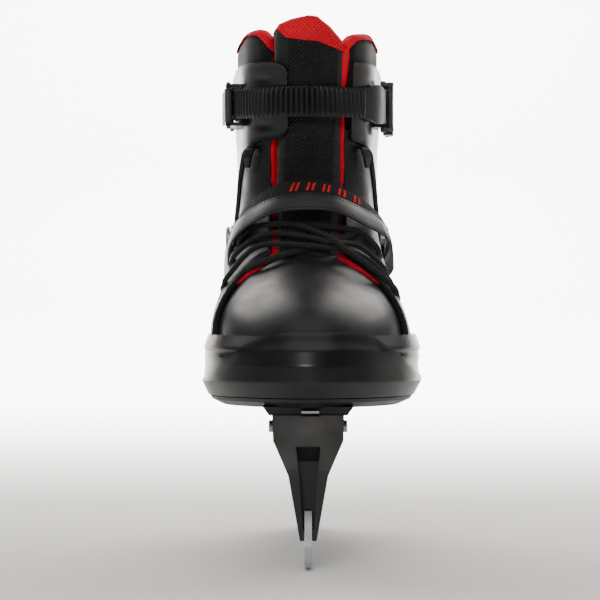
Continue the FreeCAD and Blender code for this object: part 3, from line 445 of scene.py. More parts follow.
for side, sign in (("outer", -1), ("inner", 1)):
    def on_quarter(across, up, sign=sign):
        low = 95.0
        z = low + (236 - low) * up
        return on_last(sign * (0.1 + 0.9 * across), z, 2.3)

    quarter = skin(f"quarter_{side}_leather", 150, 90, on_quarter, 1.8, 0.5)
    keep_side(quarter, LINE_TOP, -line_way)
    mesh = bmesh.new()
    mesh.from_mesh(quarter.data)
    bmesh.ops.bisect_plane(mesh, geom=mesh.verts[:] + mesh.edges[:] + mesh.faces[:], dist=1e-7,
                           plane_co=Vector((sign * THROAT_HALF, 0, 0)) * MM, plane_no=(1, 0, 0))
    inside = [face for face in mesh.faces if abs(face.calc_center_median().x) < THROAT_HALF * MM
              and face.calc_center_median().y < 22 * MM]
    bmesh.ops.delete(mesh, geom=inside, context="FACES")
    mesh.to_mesh(quarter.data)
    mesh.free()
    soft_piece(quarter, quarter_leather, f"quarter_{side}", slot="quarter_leather")

# Binding: a woven edge tape folded over the quarters' front and throat edges and stitched down, like a thin cord
# to look at. Inside it, the boot's red pile lining stands a little proud of the edge; these lips are a darker red
# than the rest of the lining, which is painted shade from the instep strap above them.
cloth, put, out = effect("woven cloth", {"Threads": 900.0})
warped = add(cloth, "TexNoise", {"Vector": put["Place"], "Scale": 220.0, "Detail": 2.0})
loose = add(cloth, "VectorMath", {0: warped.outputs[1], 3: 0.0004}, operation="SCALE")
moved = add(cloth, "VectorMath", {0: put["Place"], 1: loose.outputs[0]}, operation="ADD")
axes = add(cloth, "SeparateXYZ", {0: moved.outputs[0]})
waves = []
for axis in (0, 1):
    turns = add(cloth, "Math", {0: axes.outputs[axis], 1: put["Threads"]}, operation="MULTIPLY")
    angle = add(cloth, "Math", {0: turns.outputs[0], 1: math.pi}, operation="MULTIPLY")
    waves.append((turns, add(cloth, "Math", {0: angle.outputs[0]}, operation="SINE")))
check = add(cloth, "TexChecker", {"Scale": 1.0})
flat_place = add(cloth, "CombineXYZ", {"X": waves[0][0].outputs[0], "Y": waves[1][0].outputs[0], "Z": 0.5})
cloth.links.new(flat_place.outputs[0], check.inputs["Vector"])
sizes = [add(cloth, "Math", {0: wave.outputs[0]}, operation="ABSOLUTE") for _, wave in waves]
weave = add(cloth, "Mix", {"Factor": check.outputs[1]}, data_type="FLOAT")
cloth.links.new(sizes[0].outputs[0], weave.inputs[2])
cloth.links.new(sizes[1].outputs[0], weave.inputs[3])
cloth.links.new(weave.outputs[0], out["Height"])
lint = add(cloth, "TexNoise", {"Vector": put["Place"], "Scale": 700.0, "Detail": 4.0})
fade = add(cloth, "Math", {0: weave.outputs[0], 1: 0.55, 2: lint.outputs[0]}, operation="MULTIPLY_ADD")
gentle = add(cloth, "MapRange", {"Value": fade.outputs[0], "From Min": 0.3, "From Max": 1.1})
cloth.links.new(gentle.outputs[0], out["Shade"])

tape_cloth = textured(finish("binding tape", (0.0060, 0.0060, 0.0070), 0.85), cloth, {"Threads": 800.0},
                      (0.0250, 0.0250, 0.0270), (0.75, 0.95), (0.9, 0.0004), "UV")


def tube(name, points, radius, sides=12, flat=1.0, cyclic=False):
    """A round or flattened tube with closed ends along points in mm, with its length in the UV map."""
    curve = bpy.data.curves.new(name, "CURVE")
    curve.dimensions, curve.resolution_u = "3D", 6
    line = curve.splines.new("NURBS")
    line.points.add(len(points) - 1)
    for spot, point in zip(line.points, points):
        spot.co = (*(Vector(point) * MM), 1.0)
    line.order_u, line.use_endpoint_u, line.use_cyclic_u = 3, not cyclic, cyclic
    curve.twist_mode = "MINIMUM"
    source = bpy.data.objects.new(name, curve)
    path = [v.co.copy() for v in bpy.data.meshes.new_from_object(source).vertices]
    bpy.data.objects.remove(source)
    mesh = bmesh.new()
    layer = mesh.loops.layers.uv.new("UVMap")
    rings, lengths, side = [], [], Vector((0, 0, 1))
    count = len(path)
    for i, point in enumerate(path):
        ahead, behind = path[min(i + 1, count - 1)], path[max(i - 1, 0)]
        forward = (ahead - behind).normalized()
        side = (side - forward * side.dot(forward)).normalized()
        other = forward.cross(side)
        lengths.append(lengths[-1] + (point - path[i - 1]).length if i else 0.0)
        ring = bmesh.ops.create_circle(mesh, segments=sides, radius=radius * MM)["verts"]
        grid = Matrix((side, other * flat, forward)).transposed().to_4x4()
        bmesh.ops.transform(mesh, verts=ring, matrix=Matrix.Translation(point) @ grid)
        rings.append(ring)
    for i, (ring, after) in enumerate(zip(rings, rings[1:])):
        for k in range(sides):
            corners = [ring[k], ring[(k + 1) % sides], after[(k + 1) % sides], after[k]]
            face = mesh.faces.new(corners)
            for loop, (u, v) in zip(face.loops, ((k, i), (k + 1, i), (k + 1, i + 1), (k, i + 1))):
                loop[layer].uv = (u / sides * 2 * math.pi * radius * MM, lengths[v])
    for ring in (rings[0], rings[-1]):
        mesh.faces.new(ring)
    bmesh.ops.recalc_face_normals(mesh, faces=mesh.faces)
    return made_of(name, mesh)


def turn_where(sign, z, offset, reached):
    """The first place from the toe, on one side, where a point of the last passes the test."""
    low, high = 0.0, 0.75
    for _ in range(14):
        middle = (low + high) / 2
        low, high = (low, middle) if reached(on_last(sign * middle, z, offset)) else (middle, high)
    return sign * high


def past_front_edge(point):
    """Past the quarters' cut edge: on the slanted line below, beside the throat above."""
    behind = (point - LINE_TOP).dot(line_way) > 0
    return behind and (abs(point.x) > THROAT_HALF or point.y > 22)


# Painted shade: a darker copy of the red lining's colour, for the lips that lie in the instep strap's shadow.
red_lining_shaded = textured(finish("red lining painted shade", (0.40, 0.005, 0.020), 0.9, Specular_IOR_Level=0.15), cloth,
                    {"Threads": 900.0}, (0.7, 0.012, 0.035), (0.85, 1.0), (0.7, 0.0006), "UV")
for side, sign in (("outer", -1), ("inner", 1)):
    edge_points = []
    for z in np.linspace(112, 206, 40):
        turn = turn_where(sign, z, 2.6, past_front_edge)
        edge_points.append(on_last(turn, z, 2.2))
    binding = tube(f"quarter_binding_{side}", edge_points, 1.15, 10)
    soft_piece(binding, tape_cloth, slot="quarter_leather")

    def on_lip(across, up, sign=sign):
        z = 149 + (204 - 149) * up
        turn = turn_where(sign, z, 1.0, past_front_edge)
        fringe = 0.5 + 0.5 * math.sin(z * 1.7) * math.sin(z * 0.53 + 1)
        reach = (0.034 + 0.008 * fringe) * min(1, 0.15 + up * 5) * (1 - 0.5 * up)
        turn += sign * (0.02 * across - reach * (1 - across))
        return on_last(turn, z, 0.35 + 0.9 * math.sin(math.pi * across))

    lip = skin(f"lining_lip_{side}", 12, 60, on_lip, 1.0, 0.3)
    soft_piece(lip, red_lining_shaded, slot="lining_cloth")

# Tongue: a thick foam tongue in black mesh with plain stretch edges and a red mesh top. It starts under the toe
# cap's rear edge, lies in the open throat and creases across where the ankle bends.
TONGUE_TOP = ([-20.5, -18.8, -16.2, -9.8, 0.6, 5.3, 12.6, 18, 21.6, 23],
              [287, 290.6, 294.2, 296.6, 298.6, 298.1, 292.8, 287, 282.6, 280])
RED_FOOT = ([-21, -18.8, -16.2, -12.3, -2.9, 5.7, 12.6, 22], [293, 292.5, 290.3, 286.5, 285, 284.3, 281.8, 278.4])
net, put, out = effect("knitted mesh", {"Cells": 420.0})
axes = add(net, "SeparateXYZ", {0: put["Place"]})
slants = []
for operation in ("ADD", "SUBTRACT"):
    mixed = add(net, "Math", {0: axes.outputs[0], 1: axes.outputs[2]}, operation=operation)
    scaled = add(net, "Math", {0: mixed.outputs[0], 1: put["Cells"]}, operation="MULTIPLY")
    angle = add(net, "Math", {0: scaled.outputs[0], 1: math.pi}, operation="MULTIPLY")
    sine = add(net, "Math", {0: angle.outputs[0]}, operation="SINE")
    slants.append(add(net, "Math", {0: sine.outputs[0]}, operation="ABSOLUTE"))
knots = add(net, "Math", {0: slants[0].outputs[0], 1: slants[1].outputs[0]}, operation="MULTIPLY")
net.links.new(knots.outputs[0], out["Height"])
fuzz = add(net, "TexNoise", {"Vector": put["Place"], "Scale": 60.0, "Detail": 1.0})
thread = add(net, "Math", {0: knots.outputs[0], 1: 0.75, 2: fuzz.outputs[0]}, operation="MULTIPLY_ADD")
clear = add(net, "MapRange", {"Value": thread.outputs[0], "From Min": 0.4, "From Max": 1.15})
net.links.new(clear.outputs[0], out["Shade"])
black_mesh = textured(finish("black mesh", (0.0036, 0.0036, 0.0040), 0.85), net, {"Cells": 430.0},
                      (0.0200, 0.0200, 0.0216), (0.8, 0.95), (0.9, 0.0006))
red_mesh = textured(finish("red mesh", (0.62, 0.005, 0.018), 0.85, Specular_IOR_Level=0.15), net, {"Cells": 430.0},
                    (0.95, 0.010, 0.034), (0.75, 0.9), (0.8, 0.0005))
stretch_cloth = textured(finish("stretch cloth", (0.0067, 0.0067, 0.0077), 0.8, Sheen_Weight=0.2), cloth,
                         {"Threads": 1700.0}, (0.0126, 0.0126, 0.0144), (0.75, 0.9), (0.25, 0.0002), "UV")


def tongue_point(x, z, offset):
    """A point of the tongue at a distance across: the last's own front, flattened a little."""
    side = 1 if x > 0 else -1
    lows, highs = 0.0, 0.3
    for _ in range(18):
        middle = (lows + highs) / 2
        if abs(on_last(side * middle, z, offset).x) < abs(x):
            lows = middle
        else:
            highs = middle
    point = on_last(side * (lows + highs) / 2, z, offset)
    return Vector((x, point.y, z))


def tongue_half(z):
    return float(np.interp(z, [160, 205, 232, 260, 300], [19.6, 18.9, 18.4, 19.4, 20.7]))


def tongue_shift(z):
    return float(np.interp(z, [160, 205, 300], [0.4, 1.5, 1.5]))


def tuck(z):
    """How far the tongue's foot dips, to pass under the toe cap's rear edge."""
    return -9.0 * (1 - min(1.0, max(0.0, (z - 156) / 13))) ** 1.5


def pad_profile(share):
    """Round edges: 0 at both sides of a pad and 1 over most of it."""
    edge = min(share, 1 - share) / 0.16
    return math.sqrt(max(0.0, 1 - (1 - min(1.0, edge)) ** 2))


FULL, MIDDLE = 5.0, -3.2


def on_tongue(across, up):
    """Across goes over the front from left to right, and then back behind."""
    front = across < 0.5
    share = across * 2 if front else 2 - across * 2
    top = float(np.interp(tongue_shift(300) + (share * 2 - 1) * 20.7, *TONGUE_TOP))
    z = 150 + (top - 150) * up
    x = tongue_shift(z) + (share * 2 - 1) * tongue_half(z)
    thick = FULL * pad_profile(share) * math.sqrt(max(0.0, 1 - max(0.0, (z - top + 5) / 5) ** 2))
    crease = sum(0.5 * math.exp(-((z - at + 0.03 * x) / 0.9) ** 2) for at in (196, 203, 209.5, 215, 219))
    crease += 0.55 * math.exp(-((z - 228 - 0.06 * x) / 1.0) ** 2)
    swell = 0.7 * math.sin(math.pi * share) - (crease if front else 0)
    return tongue_point(x, z, MIDDLE + tuck(z) + (thick + swell if front else -thick))


tongue = skin("tongue_pad", 96, 150, on_tongue)
soft_piece(tongue, stretch_cloth, "tongue_lower", "tongue_upper", slot="tongue_mesh")


def on_mesh_panel(across, up):
    z = 150 + (292 - 150) * up
    left, right = -13.6, 15.4
    x = left + (right - left) * across + 0.04 * (z - 225)
    limit = float(np.interp(x, *RED_FOOT)) + 0.4
    z = min(z, limit)
    share = (x - tongue_shift(z)) / tongue_half(z) / 2 + 0.5
    crease = sum(0.5 * math.exp(-((z - at + 0.03 * x) / 0.9) ** 2) for at in (196, 203, 209.5, 215, 219))
    crease += 0.55 * math.exp(-((z - 228 - 0.06 * x) / 1.0) ** 2)
    edge = min(1.0, min(across, 1 - across) / 0.04)
    return tongue_point(x, z, MIDDLE + tuck(z) + FULL * pad_profile(share) + 0.7 * math.sin(math.pi * share) - crease
                        - 0.25 + 0.5 * edge)


mesh_panel = skin("tongue_mesh_panel", 60, 140, on_mesh_panel)
soft_piece(mesh_panel, black_mesh, slot="tongue_mesh")


def on_red_top(across, up):
    """From the red panel's foot in front, over the top, and down behind."""
    x = tongue_shift(290) + (across * 2 - 1) * 20.9
    share = across
    top = float(np.interp(x, *TONGUE_TOP)) + 0.35
    foot = float(np.interp(x, *RED_FOOT))
    foot = min(foot, top - 0.6)
    if up < 0.5:
        z = foot + (top - foot) * math.sin(up * math.pi)
        way = 1
    else:
        z = top - (top - 262) * ((up - 0.5) * 2) ** 1.5
        way = -1
    thick = (FULL * pad_profile(share) + 0.25) * math.sqrt(max(0.0, 1 - max(0.0, (z - top + 5) / 5.0) ** 2))
    swell = 0.7 * math.sin(math.pi * share) + 0.35
    return tongue_point(x, z, MIDDLE + (thick + swell if way > 0 else -thick - 0.35))


red_top = skin("tongue_red_top", 60, 48, on_red_top)
red_top.data.materials.append(red_mesh)
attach(red_top, "cuff")

# Collar: thick foam under charcoal stretch cloth, with two rounded lobes beside the tongue. The red lining rolls
# over its rim and front edges as a puffed band, and carries on down inside the boot.
COLLAR_FOOT = 178.0


def collar_top(point):
    """The rim's height: rounded lobes at the front, a little lower round the back."""
    front = float(np.interp(abs(point.x), [17, 19, 21, 24, 28, 33], [268, 274, 280, 286.5, 290.3, 291.6]))
    front -= 2.6 if point.x > 0 else 0.0
    back = float(np.interp(point.y, [-30, 10, 60, 110], [291.6, 290.4, 287.5, 287.8]))
    return min(front, back) if point.y < 8 else back


turn_at_throat = turn_where(1, 285, 1.6, lambda point: point.x > 22.6) * 1000
COLLAR_OUT, COLLAR_IN, LOW_INSIDE = 1.8, -8.6, 150


def on_collar(across, up):
    """Up the outside, over the rim and down the inside, from one throat edge round to the other."""
    reach = (turn_at_throat + 14) / 1000
    turn = reach + (2 - 2 * reach) * across
    top = collar_top(on_last(turn, 285, COLLAR_OUT))
    radius, centre = (COLLAR_OUT - COLLAR_IN) / 2, (COLLAR_OUT + COLLAR_IN) / 2
    close = min(1.0, min(across, 1 - across) / 0.018)
    puff = math.sqrt(max(0.0, 1 - (1 - close) ** 2))
    rise = math.pi * min(1.0, max(0.0, (up - 0.4) / 0.2))
    if up < 0.4:
        z, depth = COLLAR_FOOT + (top - radius - COLLAR_FOOT) * up / 0.4, COLLAR_OUT
    elif up < 0.6:
        z, depth = top - radius + radius * math.sin(rise), centre + radius * math.cos(rise)
    else:
        z, depth = top - radius - (top - radius - LOW_INSIDE) * (up - 0.6) / 0.4, COLLAR_IN
    return on_last(turn, z, centre + (depth - centre) * puff)


collar = skin("collar_padding", 150, 84, on_collar)
soft_piece(collar, stretch_cloth, "collar", slot="collar_cloth")


def on_lining(across, up):
    """The red lining: its outer hem, a puffed roll over the rim, and the inside of the boot."""
    reach = turn_at_throat / 1000 - 0.012
    turn = reach + (2 - 2 * reach) * across
    edge_share = min(across, 1 - across)
    top = collar_top(on_last(turn, 285, 1.8)) + 0.9
    if up < 0.34:
        rise = math.pi * (0.06 + 0.94 * up / 0.34)
        z, depth = top - 3.6 + 4.4 * math.sin(rise), -3.4 + 5.9 * math.cos(rise)
    else:
        z, depth = top - 3.6 - (top - 3.6 - 110) * (up - 0.34) / 0.66, -9.3
    close = min(1.0, edge_share / 0.016)
    puff = math.sqrt(max(0.0, 1 - (1 - close) ** 2))
    return on_last(turn, z, -3.4 + (depth + 3.4) * puff)


red_lining = textured(finish("red lining", (0.62, 0.005, 0.020), 0.85, Specular_IOR_Level=0.15), cloth,
                      {"Threads": 1500.0},
                      (0.85, 0.009, 0.032), (0.7, 0.9), (0.3, 0.0002), "UV")
lining = skin("boot_lining", 220, 90, on_lining)
soft_piece(lining, red_lining, "liner_lower", slot="lining_cloth")

for side, sign in (("outer", -1), ("inner", 1)):
    def on_edge_roll(across, up, sign=sign):
        """The lining's roll down the throat's edge, under the cuff and beside the tongue."""
        z = 196 + ((281 if sign > 0 else 270) - 196) * up
        turn = turn_where(1, z, 1.0, lambda point: point.x > 21.2)
        angle = math.pi * across
        offset = -2.5 + 4.6 * math.sin(angle) * 0.9
        wide = 0.013 + (0.020 * min(1.0, max(0.0, (z - 248) / 30)) if sign > 0 else 0.003)
        shift = wide * math.cos(angle)
        wave = 0.25 * math.sin(z * 0.35 + sign)
        return on_last(sign * (turn - 0.024 + wide - shift), z, offset + wave)

    roll = skin(f"lining_edge_{side}", 14, 44, on_edge_roll)
    soft_piece(roll, red_lining, slot="lining_cloth")

# Cuff: a hinged shell of satin plastic, 2 mm thick, round the back and sides of the ankle. Its outer wing reaches
# across the front under the ladder strap, and a domed rivet holds it to the base shell's arm on each side.
CUFF_LOW = ([-40, -6, 16, 34, 41, 46, 52, 58, 66, 72, 78, 92, 104, 140],
            [231, 230, 224, 204, 178, 165, 159.5, 157.5, 157.5, 160, 165, 186, 192, 194])
CUFF_HIGH = ([-40, -18, 0, 30, 60, 95, 140], [273.6, 273.4, 273, 272, 267.5, 271, 269])
cuff_turns = np.concatenate([np.linspace(0.083, 0.34, 58), np.linspace(0.345, 0.78, 110),
                             np.linspace(0.785, 1.0, 24)])
inner_side = [turn for turn in cuff_turns if turn > 0.2]
cuff_ring = [-turn for turn in cuff_turns] + inner_side[::-1]


def cuff_limits(turn):
    low, high = 215.0, 270.0
    for _ in range(7):
        low = 0.5 * low + 0.5 * float(np.interp(on_last(turn, low, 4.6).y, *CUFF_LOW))
        high = 0.5 * high + 0.5 * float(np.interp(on_last(turn, high, 4.6).y, *CUFF_HIGH))
    return low, high


cuff_edges = [cuff_limits(turn) for turn in cuff_ring]


def on_cuff(across, up):
    index = across * (len(cuff_ring) - 1)
    k = min(int(index), len(cuff_ring) - 2)
    share = index - k
    first, second = cuff_ring[k], cuff_ring[k + 1]
    if abs(first - second) > 1:
        second += 2 if second < first else -2
    turn = first + (second - first) * share
    low = cuff_edges[k][0] * (1 - share) + cuff_edges[k + 1][0] * share
    high = cuff_edges[k][1] * (1 - share) + cuff_edges[k + 1][1] * share
    z = low + (high - low) * up
    wing = max(0.0, 1 - across / 0.05)
    z = z + (0.5 - up) * 13 * (1 - math.sqrt(max(0.0, 1 - wing ** 2)))
    pucker = 0.0
    for at in (238.5, 264.0):
        pucker -= 0.7 * math.exp(-((z - at) / 2.2) ** 2) * math.exp(-((across - 0.075) / 0.03) ** 2)
    ridge = 0.35 * math.exp(-((1 - up) / 0.03) ** 2) + 0.35 * math.exp(-(up / 0.03) ** 2)
    return on_last(turn, z, 4.5 + pucker + ridge)


cuff_satin = plastic("cuff satin", (0.0080, 0.0082, 0.0092), (0.3, 0.42), (0.12, 0.0001), Coat_Weight=0.12)
cuff = skin("cuff_shell", len(cuff_ring) - 1, 60, on_cuff, 1.9, 0.75)
dress(cuff, cuff_satin, "cuff", "cuff", slot="cuff_plastic")
rivet_steel = textured(finish("rivet steel", (0.32, 0.33, 0.34), 0.35, 1.0), ground, {"Along": 1.0},
                       (0.24, 0.25, 0.26), (0.3, 0.5), (0.1, 0.0001))
pivot_y, pivot_z = 62.0, 176.0
for side, sign in (("outer", -1), ("inner", 1)):
    low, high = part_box("cuff_rivets")
    face_x = (abs(low.x) if sign < 0 else high.x) / MM
    mesh = bmesh.new()
    profile = [(face_x - 2.4, 7.4), (face_x - 0.6, 7.4), (face_x - 0.15, 7.0), (face_x + 0.1, 5.6),
               (face_x + 0.2, 3.2),
               (face_x - 0.3, 2.9), (face_x - 0.35, 0.0)]
    spots = [mesh.verts.new(Vector((x, r, 0))) for x, r in profile]
    edges = [mesh.edges.new(pair) for pair in zip(spots, spots[1:])]
    bmesh.ops.spin(mesh, geom=spots + edges, cent=(0, 0, 0), axis=(1, 0, 0), angle=2 * math.pi, steps=48,
                     use_merge=True)
    bmesh.ops.remove_doubles(mesh, verts=mesh.verts, dist=0.001)
    bmesh.ops.scale(mesh, verts=mesh.verts, vec=(sign, 1, 1))
    bmesh.ops.translate(mesh, verts=mesh.verts, vec=(0, pivot_y, pivot_z))
    bmesh.ops.scale(mesh, verts=mesh.verts, vec=(MM, MM, MM))
    bmesh.ops.recalc_face_normals(mesh, faces=mesh.faces)
    cap = made_of(f"pivot_cap_{side}", mesh, 0, 0.2)
    dress(cap, rivet_steel, "boot", slot="zinc_steel")
coat("cuff_rivets", bright_zinc)

# Ladder strap: one tough plastic moulding with rounded cross teeth on its front and a smooth flared root, which
# turns on the anchor pin. Its free end runs through the ratchet and lies along the outer side.
ladder_plastic = plastic("ladder plastic", (0.0073, 0.0075, 0.0084), (0.34, 0.46), (0.15, 0.0001))
LADDER_PATH = spline([[43.8, 13.6], [42.2, 6], [36.5, -6], [21.5, -18.6], [0, -25.2], [-21, -20.4], [-33.6, -9.8],
                      [-38.8, 0], [-41.2, 10], [-41.3, 20]], False)
ladder_samples = [Vector(LADDER_PATH(9 * k / 900)) for k in range(901)]
ladder_lengths = np.cumsum([0] + [(b - a).length for a, b in zip(ladder_samples, ladder_samples[1:])])


def on_ladder(across, up):
    """Along from the root: rounded teeth 0.8 mm high, then the smooth flared plate at the root."""
    length = across * ladder_lengths[-1]
    place = float(np.interp(length, ladder_lengths, np.arange(901))) / 100
    here, there = Vector(LADDER_PATH(place)), Vector(LADDER_PATH(min(9, place + 0.01)))
    if place > 8.98:
        here, there = Vector(LADDER_PATH(8.98)), Vector(LADDER_PATH(9))
        here += (there - here).normalized() * (length - float(np.interp(898, np.arange(901), ladder_lengths)))
    way = (there - here).normalized() if (there - here).length > 1e-6 else Vector((0, 1))
    normal = Vector((-way.y, way.x))
    flare = float(np.interp(length, [0, 6, 14, 22, 30], [9.6, 10.6, 11.2, 9.4, 8.5]))
    height = (up - 0.5) * 2 * flare
    tooth = 0.0
    if length > 27:
        edge = max(0.0, 1 - max(0.0, abs(height) - 6.9) / 1.2) * min(1.0, (length - 27) / 2)
        tooth = 0.95 * edge * abs(math.sin(math.pi * (length - 27) / 2.95)) ** 0.8
    crown = 0.25 * (1 - (height / flare) ** 2)
    spot = here + normal * (0.25 + crown + tooth)
    return Vector((spot.x, spot.y, 251 + height))


ladder = skin("ladder_moulding", 620, 16, on_ladder, 2.1, 0.35)
dress(ladder, ladder_plastic, "ladder", "ladder_strap", slot="strap_plastic")

# Ratchet buckle on the outer side and latch on the inner side: glass-filled plastic bodies, lever plates in a
# pale grey that is painted highlight for the light along their edge-on faces, and bright steel pins whose ends
# stand out of the cheeks.
buckle_black = plastic("buckle black", (0.0035, 0.0035, 0.0040), (0.36, 0.5))
# Painted highlight: the lever plates are coloured mid grey for the light caught along their edge-on faces.
lever_painted_highlight = plastic("lever grey painted highlight", (0.0550, 0.0560, 0.0580), (0.4, 0.55), (0.3, 0.00012))
pin_chrome = textured(finish("pin chrome", (0.78, 0.78, 0.79), 0.12, 1.0), ground, {"Along": 1.0},
                      (0.6, 0.6, 0.62), (0.08, 0.2), (0.05, 0.0001))
for node, material in {"strap_rivets": buckle_black, "ratchet_base": buckle_black,
                       "ratchet_pawl": buckle_black, "anchor_bracket": buckle_black,
                       "ratchet_lever": lever_painted_highlight, "anchor_latch": lever_painted_highlight, "buckle_pins": pin_chrome,
                       "anchor_pin": pin_chrome}.items():
    coat(node, material)

# Lace hooks: one on each side of the collar's front, a moulded plate sewn to the cloth that curls over into a
# rounded hook open at its foot. They are empty here, because the laces are tied lower down.
HOOK_FALL = ([0, 0.35, 0.5, 0.6, 0.7, 0.85, 1], [-7.5, 3, 5.6, 6.2, 5.4, 1.5, -4.5],
             [2.3, 2.5, 3.0, 4.4, 5.9, 6.7, 6.3])
for side, sign in (("outer", -1), ("inner", 1)):
    hook_turn = abs(turn_where(sign, 220, 2.4, lambda point: abs(point.x) > 29.4))

    def on_hook(across, up, sign=sign, middle=hook_turn):
        half = float(np.interp(up, [0, 0.5, 0.8, 1], [0.031, 0.028, 0.026, 0.012]))
        fall = float(np.interp(up, HOOK_FALL[0], HOOK_FALL[1]))
        lean = 0.012 * max(0.0, up - 0.5)
        return on_last(sign * (middle + lean + half * (2 * across - 1)), 219.5 + fall,
                       float(np.interp(up, HOOK_FALL[0], HOOK_FALL[2])))

    hook = skin(f"lace_hook_{side}", 16, 48, on_hook, 1.5, 0.5)
    dress(hook, buckle_black, "cuff", *(["lace_hooks"] if side == "outer" else []), slot="buckle_plastic")

# Instep strap: ribbed black webbing with a band of smooth leather sewn along its lower edge. The leather widens
# at both ends, is riveted at its outer root, and ends in a point on the inner side. Short red bars are woven in.
STRAP_RUN = [((-46.4, 26, 158.0), (0.0, 0.55, 0.85), (-1, -0.1, 0.1), -12.5, 12.5, 12.0),
             ((-43.6, 10, 168.0), (0.05, 0.55, 0.83), (-1, -0.3, 0.2), -12.5, 12.0, 12.0),
             ((-41.2, -7, 178.0), (0.2, 0.58, 0.8), (-0.85, -0.5, 0.5), -12.8, 8.0, 12.0),
             ((-34.0, -22, 187.0), (0.25, 0.62, 0.76), (-0.6, -0.65, 0.5), -12.8, 3.0, 12.0),
             ((-19.0, -34, 195.5), (0.15, 0.66, 0.74), (-0.3, -0.75, 0.62), -12.0, 0.6, 12.0),
             ((-2.0, -37.6, 198.5), (0.0, 0.68, 0.73), (0.0, -0.75, 0.66), -12.6, 0.2, 11.5),
             ((15.0, -35, 196.5), (-0.15, 0.66, 0.74), (0.28, -0.75, 0.62), -12.0, 0.6, 11.8),
             ((31.6, -24.4, 189), (-0.25, 0.62, 0.76), (0.6, -0.62, 0.5), -12.8, 1.6, 12.5),
             ((43.2, -10.4, 179.4), (-0.2, 0.58, 0.8), (0.85, -0.45, 0.4), -12.0, 4.5, 10.5),
             ((44.6, -2.5, 167.0), (0.42, 0.36, 0.83), (0.82, -0.55, -0.15), -10.0, 6.0, 6.0),
             ((47.3, 3.5, 156.5), (0.5, 0.3, 0.81), (0.8, -0.58, -0.1), -3.5, 2.0, 2.0)]
strap_line = spline([[*middle, *Vector(across).normalized(), *Vector(normal).normalized(), low, split, high]
                     for middle, across, normal, low, split, high in STRAP_RUN], False)


def on_strap(along, height, lift):
    """A point of the strap: along from its root, height from its lower edge at -1 to its upper edge at 1."""
    values = strap_line(along * (len(STRAP_RUN) - 1))
    middle, across, normal = Vector(values[0:3]), Vector(values[3:6]).normalized(), Vector(values[6:9]).normalized()
    return middle + across * height + normal * lift, values


def on_leather(across, up):
    _, values = on_strap(across, 0, 0)
    height = values[9] + (values[10] - values[9]) * up
    crown = 0.45 * math.sin(math.pi * up)
    return on_strap(across, height, 1.35 + crown)[0]


def on_webbing(across, up):
    along = 0.06 + 0.80 * across
    _, values = on_strap(along, 0, 0)
    low = values[10] - 3.0
    high = max(values[11] - 0.2, low + 0.8)
    return on_strap(along, low + (high - low) * up, 0.1 + 0.25 * math.sin(math.pi * up))[0]


ribs, put, out = effect("ribbed webbing", {"Ribs": 420.0, "Picks": 1300.0})
axes = add(ribs, "SeparateXYZ", {0: put["Place"]})
parts = []
for axis, rate in ((0, "Ribs"), (1, "Picks")):
    turns = add(ribs, "Math", {0: axes.outputs[axis], 1: put[rate]}, operation="MULTIPLY")
    angle = add(ribs, "Math", {0: turns.outputs[0], 1: math.pi}, operation="MULTIPLY")
    sine = add(ribs, "Math", {0: angle.outputs[0]}, operation="SINE")
    parts.append(add(ribs, "Math", {0: sine.outputs[0]}, operation="ABSOLUTE"))
rib_sum = add(ribs, "Math", {0: parts[1].outputs[0], 1: 0.3, 2: parts[0].outputs[0]}, operation="MULTIPLY_ADD")
ribs.links.new(rib_sum.outputs[0], out["Height"])
dust = add(ribs, "TexNoise", {"Vector": put["Place"], "Scale": 500.0, "Detail": 3.0})
shade = add(ribs, "Math", {0: rib_sum.outputs[0], 1: 0.6, 2: dust.outputs[0]}, operation="MULTIPLY_ADD")
level = add(ribs, "MapRange", {"Value": shade.outputs[0], "From Min": 0.35, "From Max": 1.3})
ribs.links.new(level.outputs[0], out["Shade"])
webbing_cloth = textured(finish("strap webbing", (0.0032, 0.0032, 0.0036), 0.8), ribs, {}, (0.0136, 0.0136, 0.0148),
                         (0.7, 0.9), (0.9, 0.0005), "UV")
strap_leather = textured(finish("strap leather", (0.0234, 0.0238, 0.0261), 0.42), hide, {"Depth": 0.5},
                         (0.0306, 0.0311, 0.0333), (0.38, 0.5), (0.2, 0.00015))
leather_band = skin("instep_leather_band", 180, 16, on_leather, 1.3, 0.45)
dress(leather_band, strap_leather, "instep_strap", "instep_strap", slot="strap_webbing")
webbing = skin("instep_webbing", 160, 14, on_webbing, 1.2, 0.3)
dress(webbing, webbing_cloth, "instep_strap", slot="strap_webbing")


def row_of(name, spots, size, material, body):
    """A row of small rounded grains, such as stitches: each spot is a middle, a way along and an outward way."""
    mesh = bmesh.new()
    for middle, along, normal in spots:
        along = (along - normal * along.dot(normal)).normalized()
        grain = bmesh.ops.create_uvsphere(mesh, u_segments=8, v_segments=6, radius=1.0)["verts"]
        turn = Matrix((along, normal.cross(along), normal)).transposed().to_4x4()
        bmesh.ops.transform(mesh, verts=grain, matrix=Matrix.Translation(middle) @ turn @ Matrix.Diagonal((*size, 1)))
    bmesh.ops.scale(mesh, verts=mesh.verts, vec=(MM, MM, MM))
    obj = made_of(name, mesh)
    obj.data.materials.append(material)
    if body:
        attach(obj, body)
    return obj


